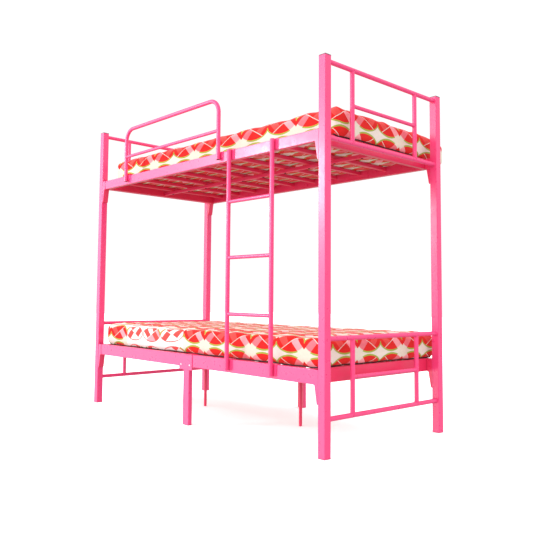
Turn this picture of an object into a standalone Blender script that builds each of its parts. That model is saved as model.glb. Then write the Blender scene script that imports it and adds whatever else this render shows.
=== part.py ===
"""Steel bunk bed: four square posts, tube end frames, hook-in side rails, slatted decks, a lower deck in
two halves on mid and centre legs, a hook-on ladder, a hook-on guard rail and two loose mattresses.

Metres, +Z up, +X along the bed, -Y is the ladder side. The floor is z = 0 and the origin is the middle of
the overall outline.
"""

import math

import bmesh
import bpy
from mathutils import Matrix

# Overall sizes
BED_LENGTH = 1.950
BED_WIDTH = 0.920
BED_HEIGHT = 1.750

# Stock sizes
POST_SIDE = 0.040
POST_WALL = 0.0015
POST_CORNER = 0.003
TUBE_R = 0.011
BAR_R = 0.009
LEG_R = 0.009
TUBE_WALL = 0.0012
RAIL_THICK = 0.025
UPPER_RAIL_TALL = 0.0535
LOWER_RAIL_TALL = 0.065
RAIL_WALL = 0.0015
RAIL_CORNER = 0.002
ROUND_SIDES = 16

# Heights, all from the floor
UPPER_DECK_TOP = 1.4225
LOWER_DECK_TOP = 0.372
UPPER_END_TOP = 1.7265
UPPER_END_BAR = 1.5595
UPPER_END_BOTTOM = 1.386
LOWER_END_TOP = 0.504
LOWER_END_BAR = 0.330
LOWER_END_BOTTOM = 0.162

# Fits
WELD_GAP = 0.0003
HOOK_GAP = 0.0003
PLUG_GAP = 0.0003

# Side rails and their hook plates
RAIL_INSET = 0.004
PLATE_WIDE = 0.030
PLATE_TAPER_TOP = 0.022
PLATE_TAPER_END = 0.008
PLATE_DROP = 0.083
PLATE_SIDE_GAP = 0.0035
DRAIN_R = 0.004
DRAIN_FROM_PLATE = 0.060

# Slats and the beam under them
SLAT_COUNT = 10
SLAT_WIDE = 0.025
SLAT_TALL = 0.019
SLAT_WALL = 0.0012
SLAT_DROP = 0.008
SLAT_SHIFT = 0.015
SLAT_PITCH = (BED_LENGTH - 2 * POST_SIDE) / (SLAT_COUNT + 0.5)
BEAM_WIDE = 0.014
BEAM_TALL = 0.020
JOIN = 0.0006
END_RAIL_THICK = 0.022

# End frames
UPRIGHT_FROM_POST = 0.170

# Legs in the middle of the lower deck
MID_LEG_WIDE = 0.050
MID_LEG_THICK = 0.025
MID_JOINT_X = -0.005
MID_JOINT_GAP = 0.0008
MID_PLATE_WIDE = 0.114
MID_PLATE_THICK = 0.003
MID_PLATE_DROP = 0.017
MID_PLATE_SINK = 0.0015
MID_PLATE_CORNER = 0.012
CENTRE_LEG_OUT = 0.405

# Hook-on pieces
HOOK_THICK = 0.003
HOOK_WIDE = 0.050
HOOK_LIP = 0.006
LADDER_HOOK_TALL = 0.050
GUARD_HOOK_TALL = 0.030
LADDER_WIDE = 0.310
LADDER_FROM_SLAT = 0.065
LADDER_SLAT = 6
RUNG_HEIGHTS = [0.595, 0.875, 1.155]
STILE_FOOT_UP = 0.012
GUARD_LEFT_SLAT = 1
GUARD_RIGHT_SLAT = 6
GUARD_FROM_SLAT = 0.022
GUARD_TOP = 0.279
GUARD_BAR = 0.113
GUARD_FOOT_DOWN = 0.040
GUARD_BEND_R = 0.070
BEND_STEPS = 6

# Mattresses
MATTRESS_END_CLEAR = 0.010
MATTRESS_OVER = 0.010
MATTRESS_THICK = 0.125
MATTRESS_CORNER = 0.055
MATTRESS_EDGE = 0.030
MATTRESS_REST = 0.0005
UPPER_MATTRESS_RIGHT = 0.005
UPPER_MATTRESS_BACK = 0.0925
UPPER_MATTRESS_TURN = math.radians(1.8)
LOWER_MATTRESS_CLEAR = 0.0020

# Plastic caps and feet
CAP_THICK = 0.004
CAP_PLUG_DEEP = 0.016
CAP_EDGE = 0.001

# Derived positions in the bed's own frame, whose middle is between the posts
HALF_L = BED_LENGTH / 2
HALF_W = BED_WIDTH / 2
POST_X = HALF_L - POST_SIDE / 2
POST_Y = HALF_W - POST_SIDE / 2
INNER_X = HALF_L - POST_SIDE
INNER_Y = HALF_W - POST_SIDE
UPRIGHT_OUT = INNER_Y - UPRIGHT_FROM_POST
MATTRESS_LENGTH = 2 * (INNER_X - MATTRESS_END_CLEAR)
MATTRESS_WIDTH = BED_WIDTH + MATTRESS_OVER
RAIL_OUT_Y = HALF_W - RAIL_INSET
RAIL_IN_Y = RAIL_OUT_Y - RAIL_THICK
RAIL_Y = (RAIL_OUT_Y + RAIL_IN_Y) / 2
STILE_Y = -(RAIL_OUT_Y + HOOK_GAP + HOOK_THICK + WELD_GAP + TUBE_R)
FRONT_REACH = -STILE_Y + TUBE_R


def mattress_back_reach():
    """Farthest +Y point of the turned upper mattress, a rectangle with round corners."""
    along = (MATTRESS_LENGTH / 2 - MATTRESS_CORNER) * math.sin(UPPER_MATTRESS_TURN)
    across = (MATTRESS_WIDTH / 2 - MATTRESS_CORNER) * math.cos(UPPER_MATTRESS_TURN)
    return UPPER_MATTRESS_BACK + along + across + MATTRESS_CORNER


# The origin is the middle of the outline, so the bed stands a little to one side of it
BED_Y = (FRONT_REACH - mattress_back_reach()) / 2


def slat_x(index):
    """Middle of one slat of the upper deck, counted from the left end."""
    return SLAT_SHIFT + (index - (SLAT_COUNT - 1) / 2) * SLAT_PITCH


LADDER_LEFT_X = slat_x(LADDER_SLAT) + LADDER_FROM_SLAT
LADDER_X = LADDER_LEFT_X + LADDER_WIDE / 2
GUARD_LEFT_X = slat_x(GUARD_LEFT_SLAT) - GUARD_FROM_SLAT
GUARD_RIGHT_X = slat_x(GUARD_RIGHT_SLAT) - GUARD_FROM_SLAT

for old in list(bpy.data.objects):
    bpy.data.objects.remove(old, do_unlink=True)

bed = bpy.data.collections.new("bunk_bed")
cutters = bpy.data.collections.new("cutters")
bpy.context.scene.collection.children.link(bed)
bpy.context.scene.collection.children.link(cutters)
cutters.hide_render = True


def material(name, colour, roughness, metallic):
    """Plain finish of one colour."""
    made = bpy.data.materials.new(name)
    made.use_nodes = True
    shader = made.node_tree.nodes["Principled BSDF"]
    shader.inputs["Base Color"].default_value = (*colour, 1.0)
    shader.inputs["Roughness"].default_value = roughness
    shader.inputs["Metallic"].default_value = metallic
    made.diffuse_color = (*colour, 1.0)
    return made


PAINT_POST = material("pink_paint_post", (1.0, 0.165, 0.376), 0.32, 0.0)
PAINT_RAIL = material("pink_paint_rail", (1.0, 0.180, 0.390), 0.32, 0.0)
PAINT_END = material("pink_paint_end_frame", (0.98, 0.150, 0.355), 0.32, 0.0)
PAINT_DECK = material("pink_paint_deck", (0.80, 0.060, 0.190), 0.40, 0.0)
PAINT_LEG = material("pink_paint_leg", (0.98, 0.160, 0.370), 0.32, 0.0)
PAINT_LADDER = material("pink_paint_ladder", (1.0, 0.195, 0.400), 0.30, 0.0)
PAINT_GUARD = material("pink_paint_guard", (1.0, 0.185, 0.390), 0.30, 0.0)
PLASTIC_CAP = material("pink_plastic_cap", (0.85, 0.120, 0.300), 0.45, 0.0)
PLASTIC_FOOT = material("pink_plastic_foot", (0.80, 0.110, 0.280), 0.55, 0.0)
FABRIC_PRINT = material("printed_fabric", (0.90, 0.420, 0.400), 0.85, 0.0)


def new_object(name, form, paint, at, into=bed):
    """Turn a bmesh into an object placed in the bed's own frame."""
    mesh = bpy.data.meshes.new(name)
    form.to_mesh(mesh)
    form.free()
    made = bpy.data.objects.new(name, mesh)
    into.objects.link(made)
    made.location = (at[0], at[1] + BED_Y, at[2])
    if into is cutters:
        made.hide_render = True
        made.display_type = "WIRE"
    else:
        mesh.materials.append(paint)
        smooth(mesh)
    return made


def smooth(mesh):
    """Shade round faces smooth and keep the corners sharp."""
    mesh.shade_smooth()
    mesh.set_sharp_from_angle(angle=math.radians(32))


def box(size, bevel=0.0, segments=2):
    """Box centred on the origin, with every edge rounded when a bevel is given."""
    form = bmesh.new()
    bmesh.ops.create_cube(form, size=1.0)
    bmesh.ops.scale(form, vec=size, verts=form.verts)
    if bevel:
        edges = form.edges[:]
        bmesh.ops.bevel(form, geom=edges, offset=bevel, segments=segments, profile=0.5, affect="EDGES")
    return form


def along(form, axis):
    """Turn a form that runs along Z so that it runs along another axis."""
    turns = {"X": Matrix.Rotation(math.pi / 2, 4, "Y"), "Y": Matrix.Rotation(-math.pi / 2, 4, "X")}
    if axis in turns:
        form.transform(turns[axis])
    return form


def square_sleeve(wide, deep, long, corner):
    """Open-ended sleeve along Z with rounded corners."""
    form = bmesh.new()
    bmesh.ops.create_cube(form, size=1.0)
    bmesh.ops.scale(form, vec=(wide, deep, long), verts=form.verts)
    upright = [edge for edge in form.edges if abs(edge.verts[0].co.z - edge.verts[1].co.z) > long / 2]
    bmesh.ops.bevel(form, geom=upright, offset=corner, segments=2, profile=0.5, affect="EDGES")
    ends = [face for face in form.faces if abs(face.normal.z) > 0.9]
    bmesh.ops.delete(form, geom=ends, context="FACES_ONLY")
    return form


def round_sleeve(radius, long):
    """Open-ended round sleeve along Z."""
    form = bmesh.new()
    bmesh.ops.create_cone(
        form, cap_ends=False, segments=ROUND_SIDES, radius1=radius, radius2=radius, depth=long
    )
    return form


def thicken(made, wall):
    """Give a sleeve its wall, inwards from the outer skin."""
    shell = made.modifiers.new("wall", "SOLIDIFY")
    shell.thickness = wall
    shell.offset = -1.0
    shell.use_even_offset = True
    return made


def square_tube(name, paint, wide, deep, long, wall, corner, axis, at):
    """Open-ended square or flat tube along an axis."""
    form = along(square_sleeve(wide, deep, long, corner), axis)
    return thicken(new_object(name, form, paint, at), wall)


def round_tube(name, paint, radius, long, axis, at):
    """Open-ended round tube along an axis."""
    form = along(round_sleeve(radius, long), axis)
    return thicken(new_object(name, form, paint, at), TUBE_WALL)


def rod_cutter(name, radius, long, axis, at):
    """Solid rod that copes a tube's end to the tube it is welded to."""
    form = bmesh.new()
    bmesh.ops.create_cone(
        form, cap_ends=True, segments=ROUND_SIDES, radius1=radius, radius2=radius, depth=long
    )
    return new_object(name, along(form, axis), None, at, cutters)


def combine(made, other, operation):
    """Cut or join one object with another."""
    step = made.modifiers.new(other.name, "BOOLEAN")
    step.operation = operation
    step.solver = "EXACT"
    step.object = other
    return made


def join_all(made, collection):
    """Join an object with everything in a collection."""
    step = made.modifiers.new("welded", "BOOLEAN")
    step.operation = "UNION"
    step.solver = "EXACT"
    step.operand_type = "COLLECTION"
    step.collection = collection
    return made


def extruded(outline, long):
    """Closed outline of (x, z) points in the XZ plane, pushed along Y and centred on y = 0."""
    form = bmesh.new()
    ring = [form.verts.new((x, -long / 2, z)) for x, z in outline]
    face = form.faces.new(ring)
    pushed = bmesh.ops.extrude_face_region(form, geom=[face])
    moved = [item for item in pushed["geom"] if isinstance(item, bmesh.types.BMVert)]
    bmesh.ops.translate(form, vec=(0.0, long, 0.0), verts=moved)
    bmesh.ops.recalc_face_normals(form, faces=form.faces)
    return form


# Posts, with a plug cap on top and a plug foot below
def post(side_x, side_y):
    """One corner post with its cap and foot."""
    where = ("back" if side_y > 0 else "front") + "_" + ("right" if side_x > 0 else "left")
    x = side_x * POST_X
    y = side_y * POST_Y
    long = BED_HEIGHT - 2 * CAP_THICK - 2 * WELD_GAP
    at = (x, y, BED_HEIGHT / 2)
    square_tube("post_" + where, PAINT_POST, POST_SIDE, POST_SIDE, long, POST_WALL, POST_CORNER, "Z", at)
    plug("post_cap_" + where, PLASTIC_CAP, 1, (x, y, BED_HEIGHT))
    plug("post_foot_" + where, PLASTIC_FOOT, -1, (x, y, 0.0))


def plug(name, paint, up, at):
    """Square cap whose outer face is at the given point, with a plug that fills the tube's mouth."""
    shift = Matrix.Translation((0.0, 0.0, -up * CAP_THICK / 2))
    form = box((POST_SIDE, POST_SIDE, CAP_THICK), CAP_EDGE, 2)
    form.transform(shift)
    cap = new_object(name, form, paint, at)
    inner = POST_SIDE - 2 * POST_WALL - 2 * PLUG_GAP
    form = square_sleeve(inner, inner, CAP_PLUG_DEEP, POST_CORNER)
    bmesh.ops.holes_fill(form, edges=form.edges[:])
    bmesh.ops.recalc_face_normals(form, faces=form.faces)
    form.transform(Matrix.Translation((0.0, 0.0, -up * (CAP_THICK / 2 + CAP_PLUG_DEEP / 2))))
    combine(cap, new_object("stem_" + name, form, None, at, cutters), "UNION")


for side_x in (-1, 1):
    for side_y in (-1, 1):
        post(side_x, side_y)


# End frames: a top and a bottom tube between the posts, two uprights and a middle bar
def end_frame(level, side_x, top, bar, bottom):
    """Five tubes, each coped to the ones it meets."""
    name = level + "_" + ("right" if side_x > 0 else "left") + "_end_"
    x = side_x * POST_X
    across = 2 * INNER_Y - 2 * WELD_GAP
    round_tube(name + "top_tube", PAINT_END, TUBE_R, across, "Y", (x, 0.0, top))
    round_tube(name + "bottom_tube", PAINT_END, TUBE_R, across, "Y", (x, 0.0, bottom))
    over = rod_cutter("cope_" + name + "top", TUBE_R + WELD_GAP, across, "Y", (x, 0.0, top))
    under = rod_cutter("cope_" + name + "bottom", TUBE_R + WELD_GAP, across, "Y", (x, 0.0, bottom))
    middle = round_tube(name + "middle_bar", PAINT_END, BAR_R, 2 * UPRIGHT_OUT, "Y", (x, 0.0, bar))
    for side_y in (-1, 1):
        y = side_y * UPRIGHT_OUT
        where = "back" if side_y > 0 else "front"
        upright = round_tube(
            name + "upright_" + where, PAINT_END, TUBE_R, top - bottom, "Z", (x, y, (top + bottom) / 2)
        )
        combine(upright, over, "DIFFERENCE")
        combine(upright, under, "DIFFERENCE")
        beside = rod_cutter(
            "cope_" + name + where, TUBE_R + WELD_GAP, top - bottom, "Z", (x, y, (top + bottom) / 2)
        )
        combine(middle, beside, "DIFFERENCE")


for side_x in (-1, 1):
    end_frame("upper", side_x, UPPER_END_TOP, UPPER_END_BAR, UPPER_END_BOTTOM)
    end_frame("lower", side_x, LOWER_END_TOP, LOWER_END_BAR, LOWER_END_BOTTOM)


# Side rails: a flat tube with a tapered hook plate welded to each end that meets a post
def hook_plate(name, side_x, side_y, top, tall):
    """Plate flat on the post's inner face, as wide as the post, hanging below the rail in a taper."""
    outline = [
        (0.0, top),
        (PLATE_WIDE, top),
        (PLATE_WIDE, top - tall),
        (PLATE_TAPER_TOP, top - tall),
        (PLATE_TAPER_END, top - tall - PLATE_DROP),
        (0.0, top - tall - PLATE_DROP),
    ]
    form = extruded(outline, POST_SIDE - PLATE_SIDE_GAP)
    if side_x > 0:
        form.transform(Matrix.Rotation(math.pi, 4, "Z"))
    return new_object(name, form, None, (side_x * (INNER_X - WELD_GAP), side_y * POST_Y, 0.0), cutters)


def side_rail(name, side_y, left, right, top, tall, plates):
    """Flat tube from left to right, with hook plates at the ends named by their side of the bed."""
    at = ((left + right) / 2, side_y * RAIL_Y, top - tall / 2)
    rail = square_tube(
        name, PAINT_RAIL, tall, RAIL_THICK, right - left, RAIL_WALL, RAIL_CORNER, "X", at
    )
    for side_x in plates:
        combine(rail, hook_plate("plate_" + name + str(side_x), side_x, side_y, top, tall), "UNION")
    return rail


rail_end = INNER_X - WELD_GAP - PLATE_WIDE / 2
for side_y, side in ((-1, "front"), (1, "back")):
    upper = side_rail(
        "upper_side_rail_" + side, side_y, -rail_end, rail_end, UPPER_DECK_TOP, UPPER_RAIL_TALL, (-1, 1)
    )
    for side_x in (-1, 1):
        drain_x = side_x * (INNER_X - PLATE_WIDE - DRAIN_FROM_PLATE)
        drain_z = UPPER_DECK_TOP - UPPER_RAIL_TALL
        drain = rod_cutter(
            "drain_" + side + str(side_x), DRAIN_R, RAIL_THICK, "Z", (drain_x, side_y * RAIL_Y, drain_z)
        )
        combine(upper, drain, "DIFFERENCE")
    side_rail(
        "lower_side_rail_" + side + "_left", side_y, -rail_end, MID_JOINT_X - MID_JOINT_GAP / 2,
        LOWER_DECK_TOP, LOWER_RAIL_TALL, (-1,)
    )
    side_rail(
        "lower_side_rail_" + side + "_right", side_y, MID_JOINT_X + MID_JOINT_GAP / 2, rail_end,
        LOWER_DECK_TOP, LOWER_RAIL_TALL, (1,)
    )


# Decks: tube slats and end rails welded to a beam along the middle
def deck(name, left, right, top, tall, slats):
    """Welded grid between the side rails, from left to right."""
    pieces = bpy.data.collections.new("pieces_" + name)
    pieces.hide_render = True
    cutters.children.link(pieces)
    across = 2 * RAIL_IN_Y - 2 * WELD_GAP
    slat_z = top - SLAT_DROP - SLAT_TALL / 2
    beam_z = top - SLAT_DROP - SLAT_TALL - BEAM_TALL / 2 + JOIN
    beam = new_object(
        name, box((right - left - END_RAIL_THICK, BEAM_WIDE, BEAM_TALL)), PAINT_DECK,
        ((left + right) / 2, 0.0, beam_z)
    )
    for index, x in enumerate(slats):
        form = along(square_sleeve(SLAT_WIDE, SLAT_TALL, across, RAIL_CORNER), "Y")
        slat = new_object(name + "_slat_" + str(index), form, None, (x, 0.0, slat_z), cutters)
        thicken(slat, SLAT_WALL)
        cutters.objects.unlink(slat)
        pieces.objects.link(slat)
    for index, x in enumerate((left + END_RAIL_THICK / 2, right - END_RAIL_THICK / 2)):
        form = along(square_sleeve(END_RAIL_THICK, tall, across, RAIL_CORNER), "Y")
        rail = new_object(name + "_end_" + str(index), form, None, (x, 0.0, top - tall / 2), cutters)
        thicken(rail, RAIL_WALL)
        cutters.objects.unlink(rail)
        pieces.objects.link(rail)
    return join_all(beam, pieces)


deck_end = INNER_X - PLATE_WIDE - 3 * WELD_GAP
slats = [slat_x(index) for index in range(SLAT_COUNT)]
deck("upper_deck_slats", -deck_end, deck_end, UPPER_DECK_TOP, UPPER_RAIL_TALL, slats)
deck(
    "lower_deck_slats_left", -deck_end, MID_JOINT_X - MID_JOINT_GAP / 2, LOWER_DECK_TOP, LOWER_RAIL_TALL,
    [x for x in slats if x < MID_JOINT_X]
)
deck(
    "lower_deck_slats_right", MID_JOINT_X + MID_JOINT_GAP / 2, deck_end, LOWER_DECK_TOP, LOWER_RAIL_TALL,
    [x for x in slats if x > MID_JOINT_X]
)


# Mid legs, one under each side where the lower rail halves meet, with a plate over the joint
def mid_leg(side_y):
    """Flat tube under the rail, with its plate on the rail's outer face."""
    name = "mid_leg_" + ("back" if side_y > 0 else "front")
    rail_bottom = LOWER_DECK_TOP - LOWER_RAIL_TALL
    long = rail_bottom - WELD_GAP
    plate_y = RAIL_OUT_Y + WELD_GAP + MID_PLATE_THICK / 2
    leg_y = RAIL_OUT_Y + WELD_GAP + MID_PLATE_SINK - MID_LEG_THICK / 2
    at = (0.0, side_y * leg_y, long / 2)
    leg = square_tube(name, PAINT_LEG, MID_LEG_WIDE, MID_LEG_THICK, long, RAIL_WALL, POST_CORNER, "Z", at)
    tall = LOWER_RAIL_TALL + MID_PLATE_DROP
    form = box((MID_PLATE_WIDE, MID_PLATE_THICK, tall))
    corners = [
        edge for edge in form.edges
        if abs(edge.verts[0].co.y - edge.verts[1].co.y) > MID_PLATE_THICK / 2
        and edge.verts[0].co.z < 0
    ]
    bmesh.ops.bevel(form, geom=corners, offset=MID_PLATE_CORNER, segments=4, profile=0.5, affect="EDGES")
    at = (MID_JOINT_X, side_y * plate_y, LOWER_DECK_TOP - tall / 2)
    combine(leg, new_object("plate_" + name, form, None, at, cutters), "UNION")


for side_y in (-1, 1):
    mid_leg(side_y)

beam_bottom = LOWER_DECK_TOP - SLAT_DROP - SLAT_TALL - BEAM_TALL + JOIN
for side_x, side in ((-1, "left"), (1, "right")):
    round_tube(
        "centre_leg_" + side, PAINT_LEG, LEG_R, beam_bottom - WELD_GAP, "Z",
        (side_x * CENTRE_LEG_OUT, 0.0, (beam_bottom - WELD_GAP) / 2)
    )


# Hooks: a bent strip over the front rail
def hook(name, paint, x, top, tall):
    """Strip whose inner face clears the rail's front, top and back by the hook gap."""
    front = -(RAIL_OUT_Y + HOOK_GAP)
    back = -(RAIL_IN_Y - HOOK_GAP)
    over = top + HOOK_GAP
    path = [(back, top - HOOK_LIP), (back, over), (front, over), (front, top - tall)]
    form = bmesh.new()
    left = [form.verts.new((-HOOK_WIDE / 2, y, z)) for y, z in path]
    right = [form.verts.new((HOOK_WIDE / 2, y, z)) for y, z in path]
    for index in range(len(path) - 1):
        form.faces.new((left[index], left[index + 1], right[index + 1], right[index]))
    made = new_object(name, form, paint, (x, 0.0, 0.0))
    bend = made.modifiers.new("strip", "SOLIDIFY")
    bend.thickness = HOOK_THICK
    bend.offset = 1.0
    bend.use_even_offset = True
    return made


# Ladder: two stiles in front of the rails, three rungs and four hooks
stile_top = UPPER_DECK_TOP
stile_foot = LOWER_DECK_TOP - LOWER_RAIL_TALL + STILE_FOOT_UP
rungs = []
for number, height in enumerate(RUNG_HEIGHTS, 1):
    at = (LADDER_X, STILE_Y, height)
    rungs.append(round_tube("ladder_rung_" + str(number), PAINT_LADDER, BAR_R, LADDER_WIDE, "X", at))
for side_x, side in ((-1, "left"), (1, "right")):
    x = LADDER_X + side_x * LADDER_WIDE / 2
    at = (x, STILE_Y, (stile_top + stile_foot) / 2)
    round_tube("ladder_stile_" + side, PAINT_LADDER, TUBE_R, stile_top - stile_foot, "Z", at)
    beside = rod_cutter("cope_stile_" + side, TUBE_R + WELD_GAP, stile_top - stile_foot, "Z", at)
    for rung in rungs:
        combine(rung, beside, "DIFFERENCE")
    hook("ladder_upper_hook_" + side, PAINT_LADDER, x, UPPER_DECK_TOP, LADDER_HOOK_TALL)
    hook("ladder_lower_hook_" + side, PAINT_LADDER, x, LOWER_DECK_TOP, LADDER_HOOK_TALL)


# Guard rail: one bent tube, a bar between its legs and two hooks
def bent_tube(name, paint, points):
    """Hollow tube along a path of points in the XZ plane."""
    line = bpy.data.curves.new(name + "_line", "CURVE")
    line.dimensions = "3D"
    line.bevel_depth = TUBE_R
    line.bevel_resolution = 6
    path = line.splines.new("POLY")
    path.points.add(len(points) - 1)
    for point, (x, z) in zip(path.points, points):
        point.co = (x, 0.0, z, 1.0)
    guide = bpy.data.objects.new(name + "_line", line)
    bpy.context.scene.collection.objects.link(guide)
    bpy.context.view_layer.update()
    graph = bpy.context.evaluated_depsgraph_get()
    mesh = bpy.data.meshes.new_from_object(guide.evaluated_get(graph))
    bpy.data.objects.remove(guide, do_unlink=True)
    form = bmesh.new()
    form.from_mesh(mesh)
    bpy.data.meshes.remove(mesh)
    bmesh.ops.remove_doubles(form, verts=form.verts, dist=0.00001)
    bmesh.ops.recalc_face_normals(form, faces=form.faces)
    return thicken(new_object(name, form, paint, (0.0, STILE_Y, 0.0)), TUBE_WALL)


def hoop_points(foot, top):
    """Up the left leg, round both bends and down the right leg."""
    points = [(GUARD_LEFT_X, foot)]
    for centre_x, start in (
        (GUARD_LEFT_X + GUARD_BEND_R, math.pi),
        (GUARD_RIGHT_X - GUARD_BEND_R, math.pi / 2),
    ):
        for step in range(BEND_STEPS + 1):
            turn = start - step * math.pi / 2 / BEND_STEPS
            x = centre_x + GUARD_BEND_R * math.cos(turn)
            z = top - GUARD_BEND_R + GUARD_BEND_R * math.sin(turn)
            points.append((x, z))
    points.append((GUARD_RIGHT_X, foot))
    return points


guard_foot = UPPER_DECK_TOP - GUARD_FOOT_DOWN
bent_tube("guard_hoop", PAINT_GUARD, hoop_points(guard_foot, UPPER_DECK_TOP + GUARD_TOP))
guard_mid = (GUARD_LEFT_X + GUARD_RIGHT_X) / 2
guard_bar = round_tube(
    "guard_middle_bar", PAINT_GUARD, BAR_R, GUARD_RIGHT_X - GUARD_LEFT_X, "X",
    (guard_mid, STILE_Y, UPPER_DECK_TOP + GUARD_BAR)
)
for x, side in ((GUARD_LEFT_X, "left"), (GUARD_RIGHT_X, "right")):
    beside = rod_cutter(
        "cope_guard_" + side, TUBE_R + WELD_GAP, GUARD_BAR * 2, "Z", (x, STILE_Y, UPPER_DECK_TOP + GUARD_BAR)
    )
    combine(guard_bar, beside, "DIFFERENCE")
    hook("guard_hook_" + side, PAINT_GUARD, x, UPPER_DECK_TOP, GUARD_HOOK_TALL)


# Mattresses: soft blocks with rounded corners and edges
def mattress(name, x, y, top_of_deck, turn):
    """Soft block lying on a deck, turned about its middle."""
    form = bmesh.new()
    bmesh.ops.create_cube(form, size=1.0)
    bmesh.ops.scale(form, vec=(MATTRESS_LENGTH, MATTRESS_WIDTH, MATTRESS_THICK), verts=form.verts)
    upright = [
        edge for edge in form.edges
        if abs(edge.verts[0].co.z - edge.verts[1].co.z) > MATTRESS_THICK / 2
    ]
    bmesh.ops.bevel(form, geom=upright, offset=MATTRESS_CORNER, segments=6, profile=0.5, affect="EDGES")
    rims = [
        edge for edge in form.edges
        if abs(edge.verts[0].co.z - edge.verts[1].co.z) < 0.001 and not edge.is_boundary
    ]
    bmesh.ops.bevel(form, geom=rims, offset=MATTRESS_EDGE, segments=3, profile=0.5, affect="EDGES")
    made = new_object(name, form, FABRIC_PRINT, (x, y, top_of_deck + MATTRESS_REST + MATTRESS_THICK / 2))
    made.rotation_euler.z = turn
    return made


mattress("upper_mattress", UPPER_MATTRESS_RIGHT, UPPER_MATTRESS_BACK, UPPER_DECK_TOP, UPPER_MATTRESS_TURN)
lower_front = -(RAIL_IN_Y - HOOK_GAP - HOOK_THICK - LOWER_MATTRESS_CLEAR)
mattress("lower_mattress", 0.0, lower_front + MATTRESS_WIDTH / 2, LOWER_DECK_TOP, 0.0)
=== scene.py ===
"""Metal bunk bed with two printed mattresses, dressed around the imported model."""

from math import cos, pi, radians, sin, sqrt, tau

import bmesh
import bpy
import numpy as np
from mathutils import Matrix, Vector


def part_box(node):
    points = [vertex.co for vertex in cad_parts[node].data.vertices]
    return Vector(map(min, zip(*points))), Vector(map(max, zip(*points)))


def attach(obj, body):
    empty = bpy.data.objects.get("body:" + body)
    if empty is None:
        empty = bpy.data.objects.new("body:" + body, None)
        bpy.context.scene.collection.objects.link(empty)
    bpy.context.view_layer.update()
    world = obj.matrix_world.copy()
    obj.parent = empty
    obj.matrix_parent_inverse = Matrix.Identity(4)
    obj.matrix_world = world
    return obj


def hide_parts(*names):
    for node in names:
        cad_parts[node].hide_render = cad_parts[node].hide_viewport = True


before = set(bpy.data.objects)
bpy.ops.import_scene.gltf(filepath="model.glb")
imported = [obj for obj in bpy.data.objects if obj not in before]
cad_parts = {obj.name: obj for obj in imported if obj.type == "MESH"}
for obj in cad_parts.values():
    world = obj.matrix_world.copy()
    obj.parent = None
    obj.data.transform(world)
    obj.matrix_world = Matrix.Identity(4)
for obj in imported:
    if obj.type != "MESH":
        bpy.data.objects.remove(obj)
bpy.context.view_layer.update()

# ---------------------------------------------------------------------------
# Corner posts
# Four 40 mm square steel tubes, bent and seam welded, then powder coated pink.
# Everything else on the bed hangs from them.
# ---------------------------------------------------------------------------

MM = 0.001
POST_CORNER = 3.2 * MM
SHARP = radians(35)
PINK = "#f04480"
PINK_DEEP = "#ea3b77"
# deep red painted into inner faces and undersides as shade
PAINTED_SHADE_RED = "#e4203f"
PEEL = 2.6 * MM
PEEL_DEEP = 0.03 * MM


def to_linear(colour):
    """sRGB hex to linear: small values over 12.92, the rest ((v + 0.055) / 1.055) to the power 2.4."""
    value = np.array([int(colour[i : i + 2], 16) for i in (1, 3, 5)]) / 255
    curved = ((value + 0.055) / 1.055) ** 2.4
    return (*np.where(value <= 0.04045, value / 12.92, curved).tolist(), 1.0)


def add(tree, kind, inputs=None, **settings):
    """A node with its settings; each input takes a value, or a link when it is given a socket."""
    node = tree.nodes.new("ShaderNode" + kind)
    for key, value in settings.items():
        setattr(node, key, value)
    for key, value in (inputs or {}).items():
        if isinstance(value, bpy.types.NodeSocket):
            tree.links.new(value, node.inputs[key])
        else:
            node.inputs[key].default_value = value
    return node


def new_material(name):
    """An empty node material, with the object's own coordinates and the output's surface socket."""
    made = bpy.data.materials.new(name)
    made.use_nodes = True
    made.node_tree.nodes.clear()
    tree = made.node_tree
    return made, tree, add(tree, "TexCoord").outputs["Object"]


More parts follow.
